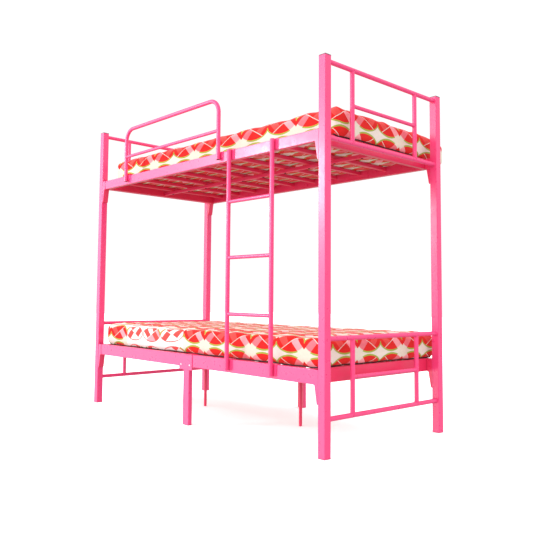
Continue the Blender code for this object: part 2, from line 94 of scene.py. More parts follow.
def powder_coat(name, colour, deep, smooth, rough, shade_depth):
    """Polyester powder melted on steel: a glossy skin with orange peel a few millimetres across.

    Inner sides and undersides are mixed towards a deep red: painted shade for the little,
    red-bounced light that reaches them. How far a face looks inwards is its normal against its place from the
    middle.
    """
    made, tree, place = new_material(name)
    cloud = add(tree, "TexNoise", {"Vector": place, "Scale": 14.0, "Detail": 4.0, "Roughness": 0.6})
    tone = add(
        tree, "Mix", {"Factor": cloud.outputs["Fac"], 6: to_linear(colour), 7: to_linear(deep)},
        data_type="RGBA",
    )
    normal = add(tree, "NewGeometry").outputs["Normal"]
    reach = add(tree, "VectorMath", {0: place, 1: (-0.6, -1.9, 0.0)}, operation="MULTIPLY").outputs[0]
    lean = add(tree, "VectorMath", {0: reach, 1: (0.0, 0.0, -1.0)}, operation="ADD").outputs[0]
    inward = add(tree, "VectorMath", {0: normal, 1: lean}, operation="DOT_PRODUCT").outputs["Value"]
    # painted shade: the more a face turns inwards or down, the more deep red is mixed in
    painted_shade = add(
        tree, "MapRange",
        {"Value": inward, "From Min": 0.1, "From Max": 1.0, "To Min": 0.0, "To Max": shade_depth},
    )
    tone = add(
        tree, "Mix", {"Factor": painted_shade.outputs["Result"], 6: tone.outputs[2], 7: to_linear(PAINTED_SHADE_RED)},
        data_type="RGBA",
    )
    smear = add(tree, "TexNoise", {"Vector": place, "Scale": 45.0, "Detail": 3.0})
    gloss = add(
        tree, "MapRange",
        {"Value": smear.outputs["Fac"], "From Min": 0.3, "From Max": 0.7, "To Min": smooth, "To Max": rough},
    )
    peel = add(tree, "TexNoise", {"Vector": place, "Scale": 1 / PEEL, "Detail": 1.5})
    nibs = add(tree, "TexVoronoi", {"Vector": place, "Scale": 1 / (55 * MM)}, feature="F1")
    nib = add(
        tree, "MapRange",
        {"Value": nibs.outputs["Distance"], "From Min": 0.0, "From Max": 0.03, "To Min": 1.0, "To Max": 0.0},
    )
    height = add(
        tree, "Math", {0: peel.outputs["Fac"], 1: nib.outputs["Result"]}, operation="ADD"
    )
    bump = add(tree, "Bump", {"Height": height.outputs[0], "Strength": 0.14, "Distance": PEEL_DEEP})
    shader = add(
        tree, "BsdfPrincipled",
        {"Base Color": tone.outputs[2], "Roughness": gloss.outputs["Result"], "IOR": 1.5,
         "Coat Weight": 0.15, "Coat Roughness": 0.12, "Coat IOR": 1.5, "Normal": bump.outputs["Normal"],
         "Coat Normal": bump.outputs["Normal"]},
    )
    add(tree, "OutputMaterial", {"Surface": shader.outputs["BSDF"]})
    return made


def grid(points, wrap_rows=False):
    """Faces through points[row, column]; columns close on themselves, and rows close too or get end faces."""
    rows, columns = points.shape[:2]
    index = np.arange(rows * columns).reshape(rows, columns)
    ring = np.concatenate([index, index[:, :1]], axis=1)
    if wrap_rows:
        ring = np.concatenate([ring, ring[:1]])
    quads = np.stack([ring[:-1, :-1], ring[:-1, 1:], ring[1:, 1:], ring[1:, :-1]], axis=-1)
    faces = quads.reshape(-1, 4).tolist()
    if not wrap_rows:
        faces += [index[0, ::-1].tolist(), index[-1].tolist()]
    return points.reshape(-1, 3), faces


def carried(profile, path, across, scale=None):
    """A closed profile carried along a path in one plane.

    The point at row i, column j is path[i] + scale[i] * (a * across + b * side), where (a, b) is the
    profile's point j and side is the path's direction crossed with across, the plane's normal.
    """
    path = np.asarray(path, float)
    step = np.gradient(path, axis=0)
    step /= np.linalg.norm(step, axis=1, keepdims=True)
    across = np.asarray(across, float)
    side = np.cross(step, across)
    size = np.ones(len(path)) if scale is None else np.asarray(scale, float)
    flat = profile[None] * size[:, None, None]
    return grid(path[:, None] + flat[..., :1] * across + flat[..., 1:] * side[:, None])


def box_profile(wide, deep, corner, steps=5):
    """Rectangle with a quarter circle at each corner, and a point on each flat just before its arc."""
    turn = np.linspace(0, pi / 2, steps + 1)
    arc = corner * np.stack([np.cos(turn), np.sin(turn)], axis=1)
    flat = 0.35 * corner
    arc = np.concatenate([arc[:1] - [0, flat], arc, arc[-1:] - [flat, 0]])
    sides = []
    for quarter, (sx, sy) in enumerate([(1, 1), (-1, 1), (-1, -1), (1, -1)]):
        c, s = round(cos(quarter * pi / 2)), round(sin(quarter * pi / 2))
        centre = [sx * (wide / 2 - corner), sy * (deep / 2 - corner)]
        sides.append(arc @ np.array([[c, s], [-s, c]]) + centre)
    return np.concatenate(sides)


def placed(name, groups, body, nodes):
    """One object at the origin from (material, closed forms) groups, on a body in place of CAD nodes."""
    points, faces, kinds, count = [], [], [], 0
    for kind, (_, forms) in enumerate(groups):
        for form_points, form_faces in forms:
            points.append(form_points)
            faces += [[corner + count for corner in face] for face in form_faces]
            kinds += [kind] * len(form_faces)
            count += len(form_points)
    mesh = bpy.data.meshes.new(name)
    mesh.from_pydata(np.concatenate(points).tolist(), [], faces)
    mesh.polygons.foreach_set("material_index", np.array(kinds, np.int32))
    mesh.polygons.foreach_set("use_smooth", np.ones(len(faces), bool))
    whole = bmesh.new()
    whole.from_mesh(mesh)
    bmesh.ops.recalc_face_normals(whole, faces=whole.faces)
    whole.to_mesh(mesh)
    whole.free()
    mesh.set_sharp_from_angle(angle=SHARP)
    for material, _ in groups:
        mesh.materials.append(material)
    made = bpy.data.objects.new(name, mesh)
    bpy.context.scene.collection.objects.link(made)
    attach(made, body)
    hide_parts(*nodes)
    return made


def extent(node):
    """Lowest corner, highest corner and middle of a CAD node."""
    low, high = (np.array(corner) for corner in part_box(node))
    return low, high, (low + high) / 2


powder_pink = powder_coat("powder coated steel", PINK, PINK_DEEP, 0.26, 0.36, 0.15)
CORNERS = ["front_left", "front_right", "back_left", "back_right"]
for corner in CORNERS:
    low, high, mid = extent("post_" + corner)
    tube = carried(
        box_profile(high[0] - low[0], high[1] - low[1], POST_CORNER),
        [(mid[0], mid[1], low[2]), (mid[0], mid[1], high[2])], (1, 0, 0),
    )
    placed("corner_post_" + corner, [(powder_pink, [tube])], "frame", ["post_" + corner])


# ---------------------------------------------------------------------------
# Caps and feet of the posts
# Moulded polyethylene plugs pushed into both ends of each post, a shade duller than the paint.
# The thin rim sits a hair proud of the tube and leaves a dark joint line under it.
# ---------------------------------------------------------------------------

RIM = 0.3 * MM
JOINT = 0.7 * MM
EDGE = 1.2 * MM


def moulded_plastic(name, colour, pale, rough):
    """Polyethylene from a spark-eroded mould: even colour, a fine dulling grain and faint flow marks."""
    made, tree, place = new_material(name)
    flow = add(tree, "TexNoise", {"Vector": place, "Scale": 30.0, "Detail": 2.0, "Distortion": 1.5})
    tone = add(
        tree, "Mix", {"Factor": flow.outputs["Fac"], 6: to_linear(colour), 7: to_linear(pale)},
        data_type="RGBA",
    )
    grain = add(tree, "TexNoise", {"Vector": place, "Scale": 1 / (0.8 * MM), "Detail": 3.0})
    dull = add(
        tree, "MapRange",
        {"Value": grain.outputs["Fac"], "From Min": 0.3, "From Max": 0.7,
         "To Min": rough, "To Max": rough + 0.15},
    )
    bump = add(tree, "Bump", {"Height": grain.outputs["Fac"], "Strength": 0.6, "Distance": 0.05 * MM})
    shader = add(
        tree, "BsdfPrincipled",
        {"Base Color": tone.outputs[2], "Roughness": dull.outputs["Result"], "IOR": 1.51,
         "Normal": bump.outputs["Normal"]},
    )
    add(tree, "OutputMaterial", {"Surface": shader.outputs["BSDF"]})
    return made


pink_plastic = moulded_plastic("moulded polyethylene", "#d8507a", "#e05c84", 0.42)
# Dark grey-purple caps: partly their own tone, partly painted shade in the groove under the rim.
cap_plastic = moulded_plastic("dark polyethylene, partly painted shade", "#6a4a5c", "#7a5668", 0.4)
dark_plastic = moulded_plastic("black polyethylene", "#17161a", "#232127", 0.45)


def plug(low, high, up):
    """Rim with rounded outer edges and a narrower neck: a rounded square carried up, sized per height."""
    side = high[0] - low[0]
    mid = (low + high) / 2
    rim_end, rim_start = (high[2], high[2] - 4 * MM) if up > 0 else (low[2], low[2] + 4 * MM)
    neck = low[2] if up > 0 else high[2]
    turn = np.linspace(0, pi / 2, 5)
    heights = [neck, rim_start + up * JOINT, rim_start + up * JOINT]
    heights += (rim_end - up * EDGE * (1 - np.sin(turn))).tolist()
    inset = [2.2 * MM, 2.2 * MM, 0.0] + (EDGE * (1 - np.cos(turn))).tolist()
    scale = [(side / 2 + RIM - gap) / (side / 2) for gap in inset]
    path = [(mid[0], mid[1], z) for z in heights]
    for row in (1, 2):
        path[row] = (mid[0], mid[1], heights[row] + up * 0.01 * MM * (row - 1))
    return carried(box_profile(side, side, POST_CORNER), path, (1, 0, 0), scale)


for corner in CORNERS:
    for end, up in (("cap", 1), ("foot", -1)):
        node = "post_" + end + "_" + corner
        low, high, _ = extent(node)
        material = cap_plastic if up > 0 else pink_plastic
        placed("plug_" + node, [(material, [plug(low, high, up)])], "frame", [node])


# ---------------------------------------------------------------------------
# End frames
# Round steel tubes coped and welded between the posts: two long ones, two uprights and a thinner bar.
# Each joint shows its weld as a rippled bead under the paint.
# ---------------------------------------------------------------------------

BEAD = 2.0 * MM
RIPPLES = 15
ROUND = 40


def round_profile(radius, sides=ROUND):
    """Circle of a radius, from angle 0 counter-clockwise."""
    turn = np.arange(sides) * tau / sides
    return radius * np.stack([np.cos(turn), np.sin(turn)], axis=1)


def straight_tube(start, end, radius, soft=0.0):
    """Round bar from start to end; soft rounds both rims with a quarter circle of that radius."""
    start, end = np.asarray(start, float), np.asarray(end, float)
    way = (end - start) / np.linalg.norm(end - start)
    across = np.array((1.0, 0.0, 0.0)) if abs(way[0]) < 0.5 else np.array((0.0, 0.0, 1.0))
    turn = np.linspace(0, pi / 2, 4)
    if not soft:
        return carried(round_profile(radius), [start, end], across)
    rise = soft * (1 - np.cos(turn))
    reach = (radius - soft + soft * np.sin(turn)) / radius
    path = [start + way * r for r in rise] + [end - way * r for r in rise[::-1]]
    return carried(round_profile(radius), path, across, np.concatenate([reach, reach[::-1]]))


def weld(at, way, radius, beside=(0, 0, 1), other=0.0):
    """Bead where a tube that runs along way from at meets a surface.

    Its centre line is at + radius * e(t) + h(t) * way, e turning round way. On a tube of radius other
    that runs along beside, h is the saddle: the root of other squared less (radius * sin t) squared.
    The bead's own radius swells and shrinks with t, as a weld pool leaves it.
    """
    way, first = np.asarray(way, float), np.asarray(beside, float)
    second = np.cross(way, first)
    t = np.arange(RIPPLES * 4) * tau / (RIPPLES * 4)
    e = np.cos(t)[:, None] * first + np.sin(t)[:, None] * second
    rise = np.sqrt(np.maximum(other**2 - (radius * np.sin(t)) ** 2, 0.0))
    line = np.asarray(at, float) + radius * e + rise[:, None] * way
    size = BEAD * (0.85 + 0.25 * np.cos(RIPPLES * t) + 0.1 * np.sin(3 * t))
    turn = np.arange(8) * tau / 8
    ring = np.cos(turn)[None, :, None] * e[:, None] + np.sin(turn)[None, :, None] * way
    return grid(line[:, None] + size[:, None, None] * ring, wrap_rows=True)


def end_frame(where):
    """Five tubes and the ten welds that hold them."""
    forms = []
    rows = {}
    for name in ("top_tube", "bottom_tube"):
        low, high, mid = extent(where + "_end_" + name)
        rows[name] = mid
        radius = (high[0] - low[0]) / 2
        ends = (low[1] - 0.3 * MM, high[1] + 0.3 * MM)
        forms.append(straight_tube((mid[0], ends[0], mid[2]), (mid[0], ends[1], mid[2]), radius))
        for y, way in ((ends[0], 1), (ends[1], -1)):
            forms.append(weld((mid[0], y, mid[2]), (0, way, 0), radius))
    low, high, bar = extent(where + "_end_middle_bar")
    bar_radius = (high[0] - low[0]) / 2
    for side, way in (("front", 1), ("back", -1)):
        _, _, mid = extent(where + "_end_upright_" + side)
        x, y = mid[:2]
        foot, top = rows["bottom_tube"][2], rows["top_tube"][2]
        forms.append(straight_tube((x, y, foot), (x, y, top), radius))
        forms.append(weld((x, y, foot), (0, 0, 1), radius, (0, 1, 0), radius))
        forms.append(weld((x, y, top), (0, 0, -1), radius, (0, 1, 0), radius))
        forms.append(weld((x, y, bar[2]), (0, way, 0), bar_radius, (0, 0, 1), radius))
    bar_ends = [(bar[0], y, bar[2]) for y in (low[1] - radius / 2, high[1] + radius / 2)]
    forms.append(straight_tube(*bar_ends, bar_radius))
    parts = ["top_tube", "bottom_tube", "middle_bar", "upright_front", "upright_back"]
    nodes = [where + "_end_" + part for part in parts]
    placed("end_frame_" + where, [(powder_pink, forms)], "frame", nodes)


for where in ("upper_left", "upper_right", "lower_left", "lower_right"):
    end_frame(where)


# ---------------------------------------------------------------------------
# Side rails
# Flat steel tubes from post to post, with a tapered hook plate welded to each end.
# The plate stands against the post's inner face and its hooks drop into slots there.
# ---------------------------------------------------------------------------

PLATE_WIDE = 30 * MM
PLATE_TAPER = 22 * MM
PLATE_TIP = 8 * MM
PLATE_DROP = 83 * MM
RAIL_CORNER = 2.5 * MM
RAIL_THICK = 25 * MM
FACE_FRONT = 2.3 * MM
FACE_BACK = 2.2 * MM


# the same pink with strong painted shade on inner faces and undersides, for the rails and joint legs
powder_rail_shaded = powder_coat("powder coated steel, rails, strong painted shade", PINK, PINK_DEEP, 0.26, 0.36, 0.8)


def rounded(corners, radii, closed=True, steps=6):
    """Outline or path with each corner replaced by a curve.

    The curve is (1-s)^2 A + 2s(1-s) P + s^2 B, where P is the corner and A and B lie its radius back
    along the two edges.
    """
    corners = np.asarray(corners, float)
    count = len(corners)
    s = np.linspace(0, 1, steps + 1)[:, None]
    made = []
    for i, radius in enumerate(radii):
        here = corners[i]
        if not closed and i in (0, count - 1):
            made.append(here[None])
            continue
        back, ahead = corners[i - 1] - here, corners[(i + 1) % count] - here
        a = here + back / np.linalg.norm(back) * radius
        b = here + ahead / np.linalg.norm(ahead) * radius
        made.append((1 - s) ** 2 * a + 2 * s * (1 - s) * here + s**2 * b)
    return np.concatenate(made)


def slab(outline, start, end, edge, out, up):
    """Plate with a given outline between two planes: four rings, the outer two drawn in by a soft edge.

    outline is in the plane of out and up, and the plate's thickness runs along their cross product.
    """
    ahead, behind = np.roll(outline, -1, axis=0), np.roll(outline, 1, axis=0)
    run = ahead - behind
    normal = np.stack([run[:, 1], -run[:, 0]], axis=1)
    normal /= np.linalg.norm(normal, axis=1, keepdims=True)
    area = np.sum(outline[:, 0] * ahead[:, 1] - outline[:, 1] * ahead[:, 0])
    inner = outline - np.sign(area) * normal * edge
    through = np.cross(out, up)
    levels = [(start, inner), (start + edge, outline), (end - edge, outline), (end, inner)]
    rings = [ring[:, :1] * out + ring[:, 1:] * up + level * through for level, ring in levels]
    return grid(np.stack(rings))


def hook_plate(x_post, side, low_y, high_y, top, bottom):
    """Plate against the post at x_post, reaching towards side, from the rail's top to well below it."""
    shape = [
        (0, top), (PLATE_WIDE, top), (PLATE_WIDE, bottom), (PLATE_TAPER, bottom - 1 * MM),
        (PLATE_TIP, bottom - PLATE_DROP), (0, bottom - PLATE_DROP),
    ]
    outline = rounded(shape, [1 * MM, 1 * MM, 2 * MM, 4 * MM, 5 * MM, 1 * MM])
    outline[:, 0] = x_post + side * outline[:, 0]
    # out crossed with up is -Y, so the plate runs from -high_y to -low_y along it
    return slab(outline, -high_y, -low_y, 0.8 * MM, np.array((1.0, 0, 0)), np.array((0, 0, 1.0)))


def side_rail(name, node, posts):
    """Rail tube in its CAD node's box, with a plate at each end that meets a post."""
    low, high, mid = extent(node)
    tall = high[2] - low[2] - PLATE_DROP
    front = mid[1] < 0
    y = low[1] + FACE_FRONT + RAIL_THICK / 2 if front else high[1] - FACE_BACK - RAIL_THICK / 2
    z = high[2] - tall / 2
    tube = carried(box_profile(RAIL_THICK, tall, RAIL_CORNER), [(low[0], y, z), (high[0], y, z)], (0, 1, 0))
    forms = [tube]
    for side in posts:
        x_post = low[0] if side > 0 else high[0]
        forms.append(hook_plate(x_post, side, low[1], high[1], high[2], high[2] - tall))
    placed(name, [(powder_rail_shaded, forms)], "frame", [node])


for side in ("front", "back"):
    side_rail("rail_upper_" + side, "upper_side_rail_" + side, (1, -1))
    for end, way in (("_left", 1), ("_right", -1)):
        side_rail("rail_lower_" + side + end, "lower_side_rail_" + side + end, (way,))


# ---------------------------------------------------------------------------
# Decks
# Flat tube slats across the bed on a beam down the middle, with an end rail at each end.
# A black screw holds each slat to the beam. The decks take a deeper, redder copy of the pink with strong
# painted shade, for the dim, red-bounced light inside the bed.
# ---------------------------------------------------------------------------

SLAT_COUNT = 10
SLAT_SHIFT = 15 * MM
SLAT_WIDE = 25 * MM
SLAT_TALL = 19 * MM
SLAT_DROP = 8 * MM
BEAM_WIDE = 14 * MM
BEAM_TALL = 20 * MM
END_RAIL = 22 * MM
SCREW_R = 5.5 * MM
SCREW_TALL = 2.6 * MM

# redder copy of the pink: painted shade and red bounce light for the decks and beam legs
powder_deck_shaded = powder_coat("powder coated steel, deck, red copy with painted shade", "#e52c5e", "#dc2552", 0.34, 0.46, 0.8)


def bare_metal(name, colour, worn, rough, metallic):
    """Plated or blacked steel: fine turning marks that change the gloss, and slight staining."""
    made, tree, place = new_material(name)
    stain = add(tree, "TexNoise", {"Vector": place, "Scale": 260.0, "Detail": 4.0})
    tone = add(
        tree, "Mix", {"Factor": stain.outputs["Fac"], 6: to_linear(colour), 7: to_linear(worn)},
        data_type="RGBA",
    )
    gloss = add(
        tree, "MapRange",
        {"Value": stain.outputs["Fac"], "From Min": 0.3, "From Max": 0.7,
         "To Min": rough, "To Max": rough + 0.2},
    )
    bump = add(tree, "Bump", {"Height": stain.outputs["Fac"], "Strength": 0.3, "Distance": 0.05 * MM})
    shader = add(
        tree, "BsdfPrincipled",
        {"Base Color": tone.outputs[2], "Roughness": gloss.outputs["Result"], "Metallic": metallic,
         "Normal": bump.outputs["Normal"]},
    )
    add(tree, "OutputMaterial", {"Surface": shader.outputs["BSDF"]})
    return made


black_steel = bare_metal("blacked screw steel", "#1a1718", "#2c2727", 0.35, 0.6)
zinc_steel = bare_metal("zinc plated steel", "#d9dbe0", "#b9bdc6", 0.22, 1.0)


def screw_head(at, way, radius, tall):
    """Pan head with a hexagon socket.

    A profile of (radius, height) is turned round way. In the socket the radius is that of a hexagon:
    its flat distance over the cosine of the angle from the nearest flat's middle.
    """
    way = np.asarray(way, float)
    first = np.array((1.0, 0.0, 0.0)) if abs(way[0]) < 0.5 else np.array((0.0, 0.0, 1.0))
    second = np.cross(way, first)
    turn = np.arange(24) * tau / 24
    hexagon = 1 / np.cos((turn + pi / 6) % (pi / 3) - pi / 6)
    rim = np.linspace(0, pi / 2, 4)
    reach = [1.0] + (1 - 0.3 * (1 - np.cos(rim))).tolist()
    rise = [0.0] + (tall * (0.45 + 0.55 * np.sin(rim))).tolist()
    rows = [(radius * r, h, np.ones(24)) for r, h in zip(reach, rise)]
    rows += [(radius * 0.46, tall, hexagon), (radius * 0.44, tall * 0.3, hexagon)]
    rings = [
        np.asarray(at, float) + h * way
        + (r * shape)[:, None] * (np.cos(turn)[:, None] * first + np.sin(turn)[:, None] * second)
        for r, h, shape in rows
    ]
    return grid(np.stack(rings))


def slat_places():
    """Middle of each slat: evenly spaced between the posts, shifted a little to the right."""
    inner = 2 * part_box("post_front_right")[0][0]
    pitch = inner / (SLAT_COUNT + 0.5)
    return SLAT_SHIFT + (np.arange(SLAT_COUNT) - (SLAT_COUNT - 1) / 2) * pitch


def deck(node):
    """Slats, beam, end rails and screws inside the deck's CAD box."""
    low, high, mid = extent(node)
    slat_z = high[2] - SLAT_DROP - SLAT_TALL / 2
    beam_z = slat_z - SLAT_TALL / 2 - BEAM_TALL / 2
    end_z = (low[2] + high[2]) / 2
    profile = box_profile(SLAT_WIDE, SLAT_TALL, 2 * MM, 4)
    forms, screws = [], []
    for x in slat_places():
        if low[0] < x < high[0]:
            forms.append(carried(profile, [(x, low[1], slat_z), (x, high[1], slat_z)], (1, 0, 0)))
            screws.append(screw_head((x, mid[1], beam_z - BEAM_TALL / 2), (0, 0, -1), SCREW_R, SCREW_TALL))
    tall = high[2] - low[2]
    ends = (low[0] + END_RAIL / 2, high[0] - END_RAIL / 2)
    for x in ends:
        profile = box_profile(END_RAIL, tall, RAIL_CORNER)
        forms.append(carried(profile, [(x, low[1], end_z), (x, high[1], end_z)], (1, 0, 0)))
    beam = [(x, mid[1], beam_z) for x in ends]
    forms.append(carried(box_profile(BEAM_WIDE, BEAM_TALL, 2 * MM, 4), beam, (0, 1, 0)))
    groups = [(powder_deck_shaded, forms), (black_steel, screws)]
    placed(node.replace("deck_slats", "deck"), groups, "frame", [node])


for node in ("upper_deck_slats", "lower_deck_slats_left", "lower_deck_slats_right"):
    deck(node)


# ---------------------------------------------------------------------------
# Mid legs and centre legs
# A flat tube leg under each side where the two lower rails meet, its plate bolted over the joint.
# Two thin round legs carry the beam. All stand on plastic plugs.
# ---------------------------------------------------------------------------

LEG_WIDE = 50 * MM
LEG_THICK = 25 * MM
LEG_PLUG = 4 * MM
PLATE_TALL = 82 * MM
BOLT_R = 5 * MM
BOLT_TALL = 1.92 * MM
LEG_BACK = 1.5 * MM
LEG_TOP = 65.3 * MM
LEG_PLATE = 2.6 * MM
BOLT_AT = (-39 * MM, 36 * MM)
BOLT_UP = 26 * MM


def mid_leg(node):
    """Leg tube, plug and joint plate with two bolts, on the outer face of the rails."""
    low, high, mid = extent(node)
    out = -1 if mid[1] < 0 else 1
    outer = low[1] if out < 0 else high[1]
    leg_y = outer - out * (LEG_BACK + LEG_THICK / 2)
    top = high[2] - LEG_TOP
    profile = box_profile(LEG_WIDE, LEG_THICK, POST_CORNER)
    leg = carried(profile, [(0, leg_y, LEG_PLUG), (0, leg_y, top)], (1, 0, 0))
    turn = np.linspace(0, pi / 2, 4)
    heights = np.append(EDGE * (1 - np.cos(turn)), LEG_PLUG - JOINT)
    sizes = np.append(1 - 0.06 * (1 - np.sin(turn)), 1.0)
    foot = carried(profile, [(0, leg_y, z) for z in heights], (1, 0, 0), sizes)
    neck = carried(profile, [(0, leg_y, z) for z in (1 * MM, LEG_PLUG + 2 * MM)], (1, 0, 0), [0.93, 0.93])
    left, right = low[0], high[0]
    bottom = high[2] - PLATE_TALL
    outline = rounded(
        [(left, bottom), (right, bottom), (right, high[2]), (left, high[2])],
        [14 * MM, 3 * MM, 1.5 * MM, 3 * MM],
    )
    inner = outer - out * LEG_PLATE
    across = sorted((-outer, -inner))
    plate = slab(outline, across[0], across[1], 0.7 * MM, np.array((1.0, 0, 0)), np.array((0, 0, 1.0)))
    middle = (left + right) / 2
    bolts = [
        screw_head((middle + x, outer, bottom + BOLT_UP), (0, out, 0), BOLT_R, BOLT_TALL) for x in BOLT_AT
    ]
    # joint legs take the rail copy: strong painted shade on their inner faces
    groups = [(powder_rail_shaded, [leg, plate]), (pink_plastic, [foot, neck]), (zinc_steel, bolts)]
    placed(node.replace("mid_leg", "joint_leg"), groups, "frame", [node])


def centre_leg(node):
    """Thin tube on a plug, with a small welded collar under the beam."""
    low, high, mid = extent(node)
    radius = (high[0] - low[0]) / 2
    tube = straight_tube((mid[0], mid[1], LEG_PLUG), (mid[0], mid[1], high[2]), radius)
    foot = straight_tube((mid[0], mid[1], 0), (mid[0], mid[1], LEG_PLUG - JOINT), radius + 0.4 * MM, 1 * MM)
    neck = straight_tube((mid[0], mid[1], 1 * MM), (mid[0], mid[1], 2 * LEG_PLUG), radius - 0.8 * MM)
    bead = weld((mid[0], mid[1], high[2] - 0.5 * MM), (0, 0, -1), radius, (1, 0, 0))
    # beam legs take the deck's redder copy: painted shade under the bed
    groups = [(powder_deck_shaded, [tube, bead]), (pink_plastic, [foot, neck])]
    placed(node.replace("centre_leg", "beam_leg"), groups, "frame", [node])


for node in ("mid_leg_front", "mid_leg_back"):
    mid_leg(node)
for node in ("centre_leg_left", "centre_leg_right"):
    centre_leg(node)


# ---------------------------------------------------------------------------
# Ladder
# Two round stiles with three rungs welded between them, and a strip hook at each rail.
# It hangs on the upper and lower front rails and lifts off.
# ---------------------------------------------------------------------------

STRIP = 3 * MM
BEND = 3.2 * MM
LIP = 6 * MM
TACK_R = 2.6 * MM
TACK_HALF = 5 * MM


def strip_hook(node):
    """Flat strip bent over a rail: a thin rounded rectangle carried up, over and down in the YZ plane."""
    low, high, mid = extent(node)
    back, front, over = high[1] - STRIP / 2, low[1] + STRIP / 2, high[2] - STRIP / 2
    lip_end = high[2] - STRIP - 0.3 * MM - LIP
    corners = [(mid[0], back, lip_end), (mid[0], back, over), (mid[0], front, over), (mid[0], front, low[2])]
    path = rounded(corners, [0, BEND, BEND, 0], closed=False)
    way = np.diff(path, axis=0)
    keep = np.concatenate([[True], np.linalg.norm(way, axis=1) > 1e-6])
    return carried(box_profile(high[0] - low[0], STRIP, 0.9 * MM, 3), path[keep], (1, 0, 0))


forms, plugs, nodes = [], [], []
stiles = {}
for side in ("left", "right"):
    node = "ladder_stile_" + side
    low, high, mid = extent(node)
    stiles[side] = mid
    stile_radius = (high[0] - low[0]) / 2
    tube_foot, plug_top = (mid[0], mid[1], low[2] + 2 * MM), (mid[0], mid[1], low[2] + 6 * MM)
    forms.append(straight_tube(tube_foot, (mid[0], mid[1], high[2]), stile_radius, 0.8 * MM))
    plugs.append(straight_tube((mid[0], mid[1], low[2]), plug_top, stile_radius - 0.6 * MM, 1 * MM))
    nodes.append(node)
    for level in ("upper", "lower"):
        node = "ladder_" + level + "_hook_" + side
        low, high, _ = extent(node)
        forms.append(strip_hook(node))
        for z in (low[2] + 6 * MM, high[2] - 10 * MM):
            tack = [(mid[0] - 3 * MM, low[1] + 0.4 * MM, z + rise) for rise in (-TACK_HALF, TACK_HALF)]
            forms.append(straight_tube(*tack, TACK_R, 1.2 * MM))
        nodes.append(node)
for number in (1, 2, 3):
    node = "ladder_rung_" + str(number)
    low, high, mid = extent(node)
    radius = (high[2] - low[2]) / 2
    left, right = stiles["left"], stiles["right"]
    forms.append(straight_tube((left[0], left[1], mid[2]), (right[0], right[1], mid[2]), radius))
    forms.append(weld((left[0], left[1], mid[2]), (1, 0, 0), radius, (0, 0, 1), stile_radius))
    forms.append(weld((right[0], right[1], mid[2]), (-1, 0, 0), radius, (0, 0, 1), stile_radius))
    nodes.append(node)
placed("ladder_welded", [(powder_pink, forms), (pink_plastic, plugs)], "ladder", nodes)


# ---------------------------------------------------------------------------
# Guard rail
# One tube bent into a hoop with a thinner bar across it, two strip hooks and black plugs in its feet.
# It hangs on the upper front rail beside the ladder.
# ---------------------------------------------------------------------------

BEND_R = 70 * MM
BEND_STEPS = 14
GUARD_BAR_R = 9 * MM

low, high, mid = extent("guard_hoop")
hoop_radius = (high[1] - low[1]) / 2
left, right = low[0] + hoop_radius, high[0] - hoop_radius
crown = high[2] - hoop_radius
turn = np.linspace(0, pi / 2, BEND_STEPS)
first = np.stack([left + BEND_R * (1 - np.cos(turn)), crown - BEND_R * (1 - np.sin(turn))], axis=1)
second = np.stack([right - BEND_R * (1 - np.sin(turn)), crown - BEND_R * (1 - np.cos(turn))], axis=1)
feet = low[2] + 1.5 * MM
line = np.concatenate([[(left, feet)], first, second, [(right, feet)]])
path = np.stack([line[:, 0], np.full(len(line), mid[1]), line[:, 1]], axis=1)
forms = [carried(round_profile(hoop_radius), path, (0, 1, 0))]
_, _, bar = extent("guard_middle_bar")
forms.append(straight_tube((left, mid[1], bar[2]), (right, mid[1], bar[2]), GUARD_BAR_R))
plugs = []
for x, way in ((left, 1), (right, -1)):
    forms.append(weld((x, mid[1], bar[2]), (way, 0, 0), GUARD_BAR_R, (0, 0, 1), hoop_radius))
    plugs.append(straight_tube((x, mid[1], low[2]), (x, mid[1], feet + 4 * MM), hoop_radius - 1 * MM, 1 * MM))
for side in ("left", "right"):
    forms.append(strip_hook("guard_hook_" + side))
nodes = ["guard_hoop", "guard_middle_bar", "guard_hook_left", "guard_hook_right"]
groups = [(powder_pink, forms), (dark_plastic, plugs)]
placed("guard_rail_welded", groups, "guard_rail", nodes)


# ---------------------------------------------------------------------------
# Mattresses
# Foam in a cotton cover printed with ovals, stars and crossing bands in red, pink, cream and lime.
# The cover is a top, a bottom and a border, with black tape round the low seam as painted shadow
# of the dark gap along the rails, and coral piping round the top rim. Both mattresses lie loose on the decks.
# ---------------------------------------------------------------------------

ROW = 105 * MM
OVAL_TALL = 42 * MM
OVAL_OVER = -2.5 * MM
BAND_ANGLE = radians(44)
BAND_HALF = 18 * MM
RIND = 8 * MM
CORE_R = 0.62 * ROW
CROSS_R = 0.7 * ROW
OUTLINE = 5.5 * MM
LINE_HALF = 1.5 * MM
HALF = np.array((925 * MM, 465 * MM, 62.5 * MM))
CORNER_R = 28 * MM
RIM_R = 26 * MM
START_INSET = 4 * MM
CELL = 14 * MM
CORNER_CELLS = 3
RIM_ROWS = 4
WALL_ROWS = 5
PRESSURE = 4.0
FRAMES = 20
CAP = 14 * MM
THREAD = 1.4 * MM
SINK = 7.0 * MM
SINK_X = 0.882
SINK_BACK = 0.3795
HANG = 9 * MM
HANG_BACK = 0.4045
DROOP = 20 * MM
PIPING_R = 2.2 * MM
SHADOW_TAPE_R = 3.2 * MM
PIPING_SIDES = 8
DROOP_X = 0.904
PULL = 60 * MM
PULL_DOWN = 14 * MM
REACH_LEFT = 14 * MM
REACH_X = 0.8
REACH_EASE = 0.12
PULL_X = 0.72
PULL_Y = 0.33
PULL_EASE = 0.2
TILT = radians(1.8)
BULGE = 9 * MM
HANG_EASE = 0.1
PALE_FROM = -0.09
PALE_EASE = 0.232
PALE_SHIFT = 0.0505
PALE_RISE = 20 * MM


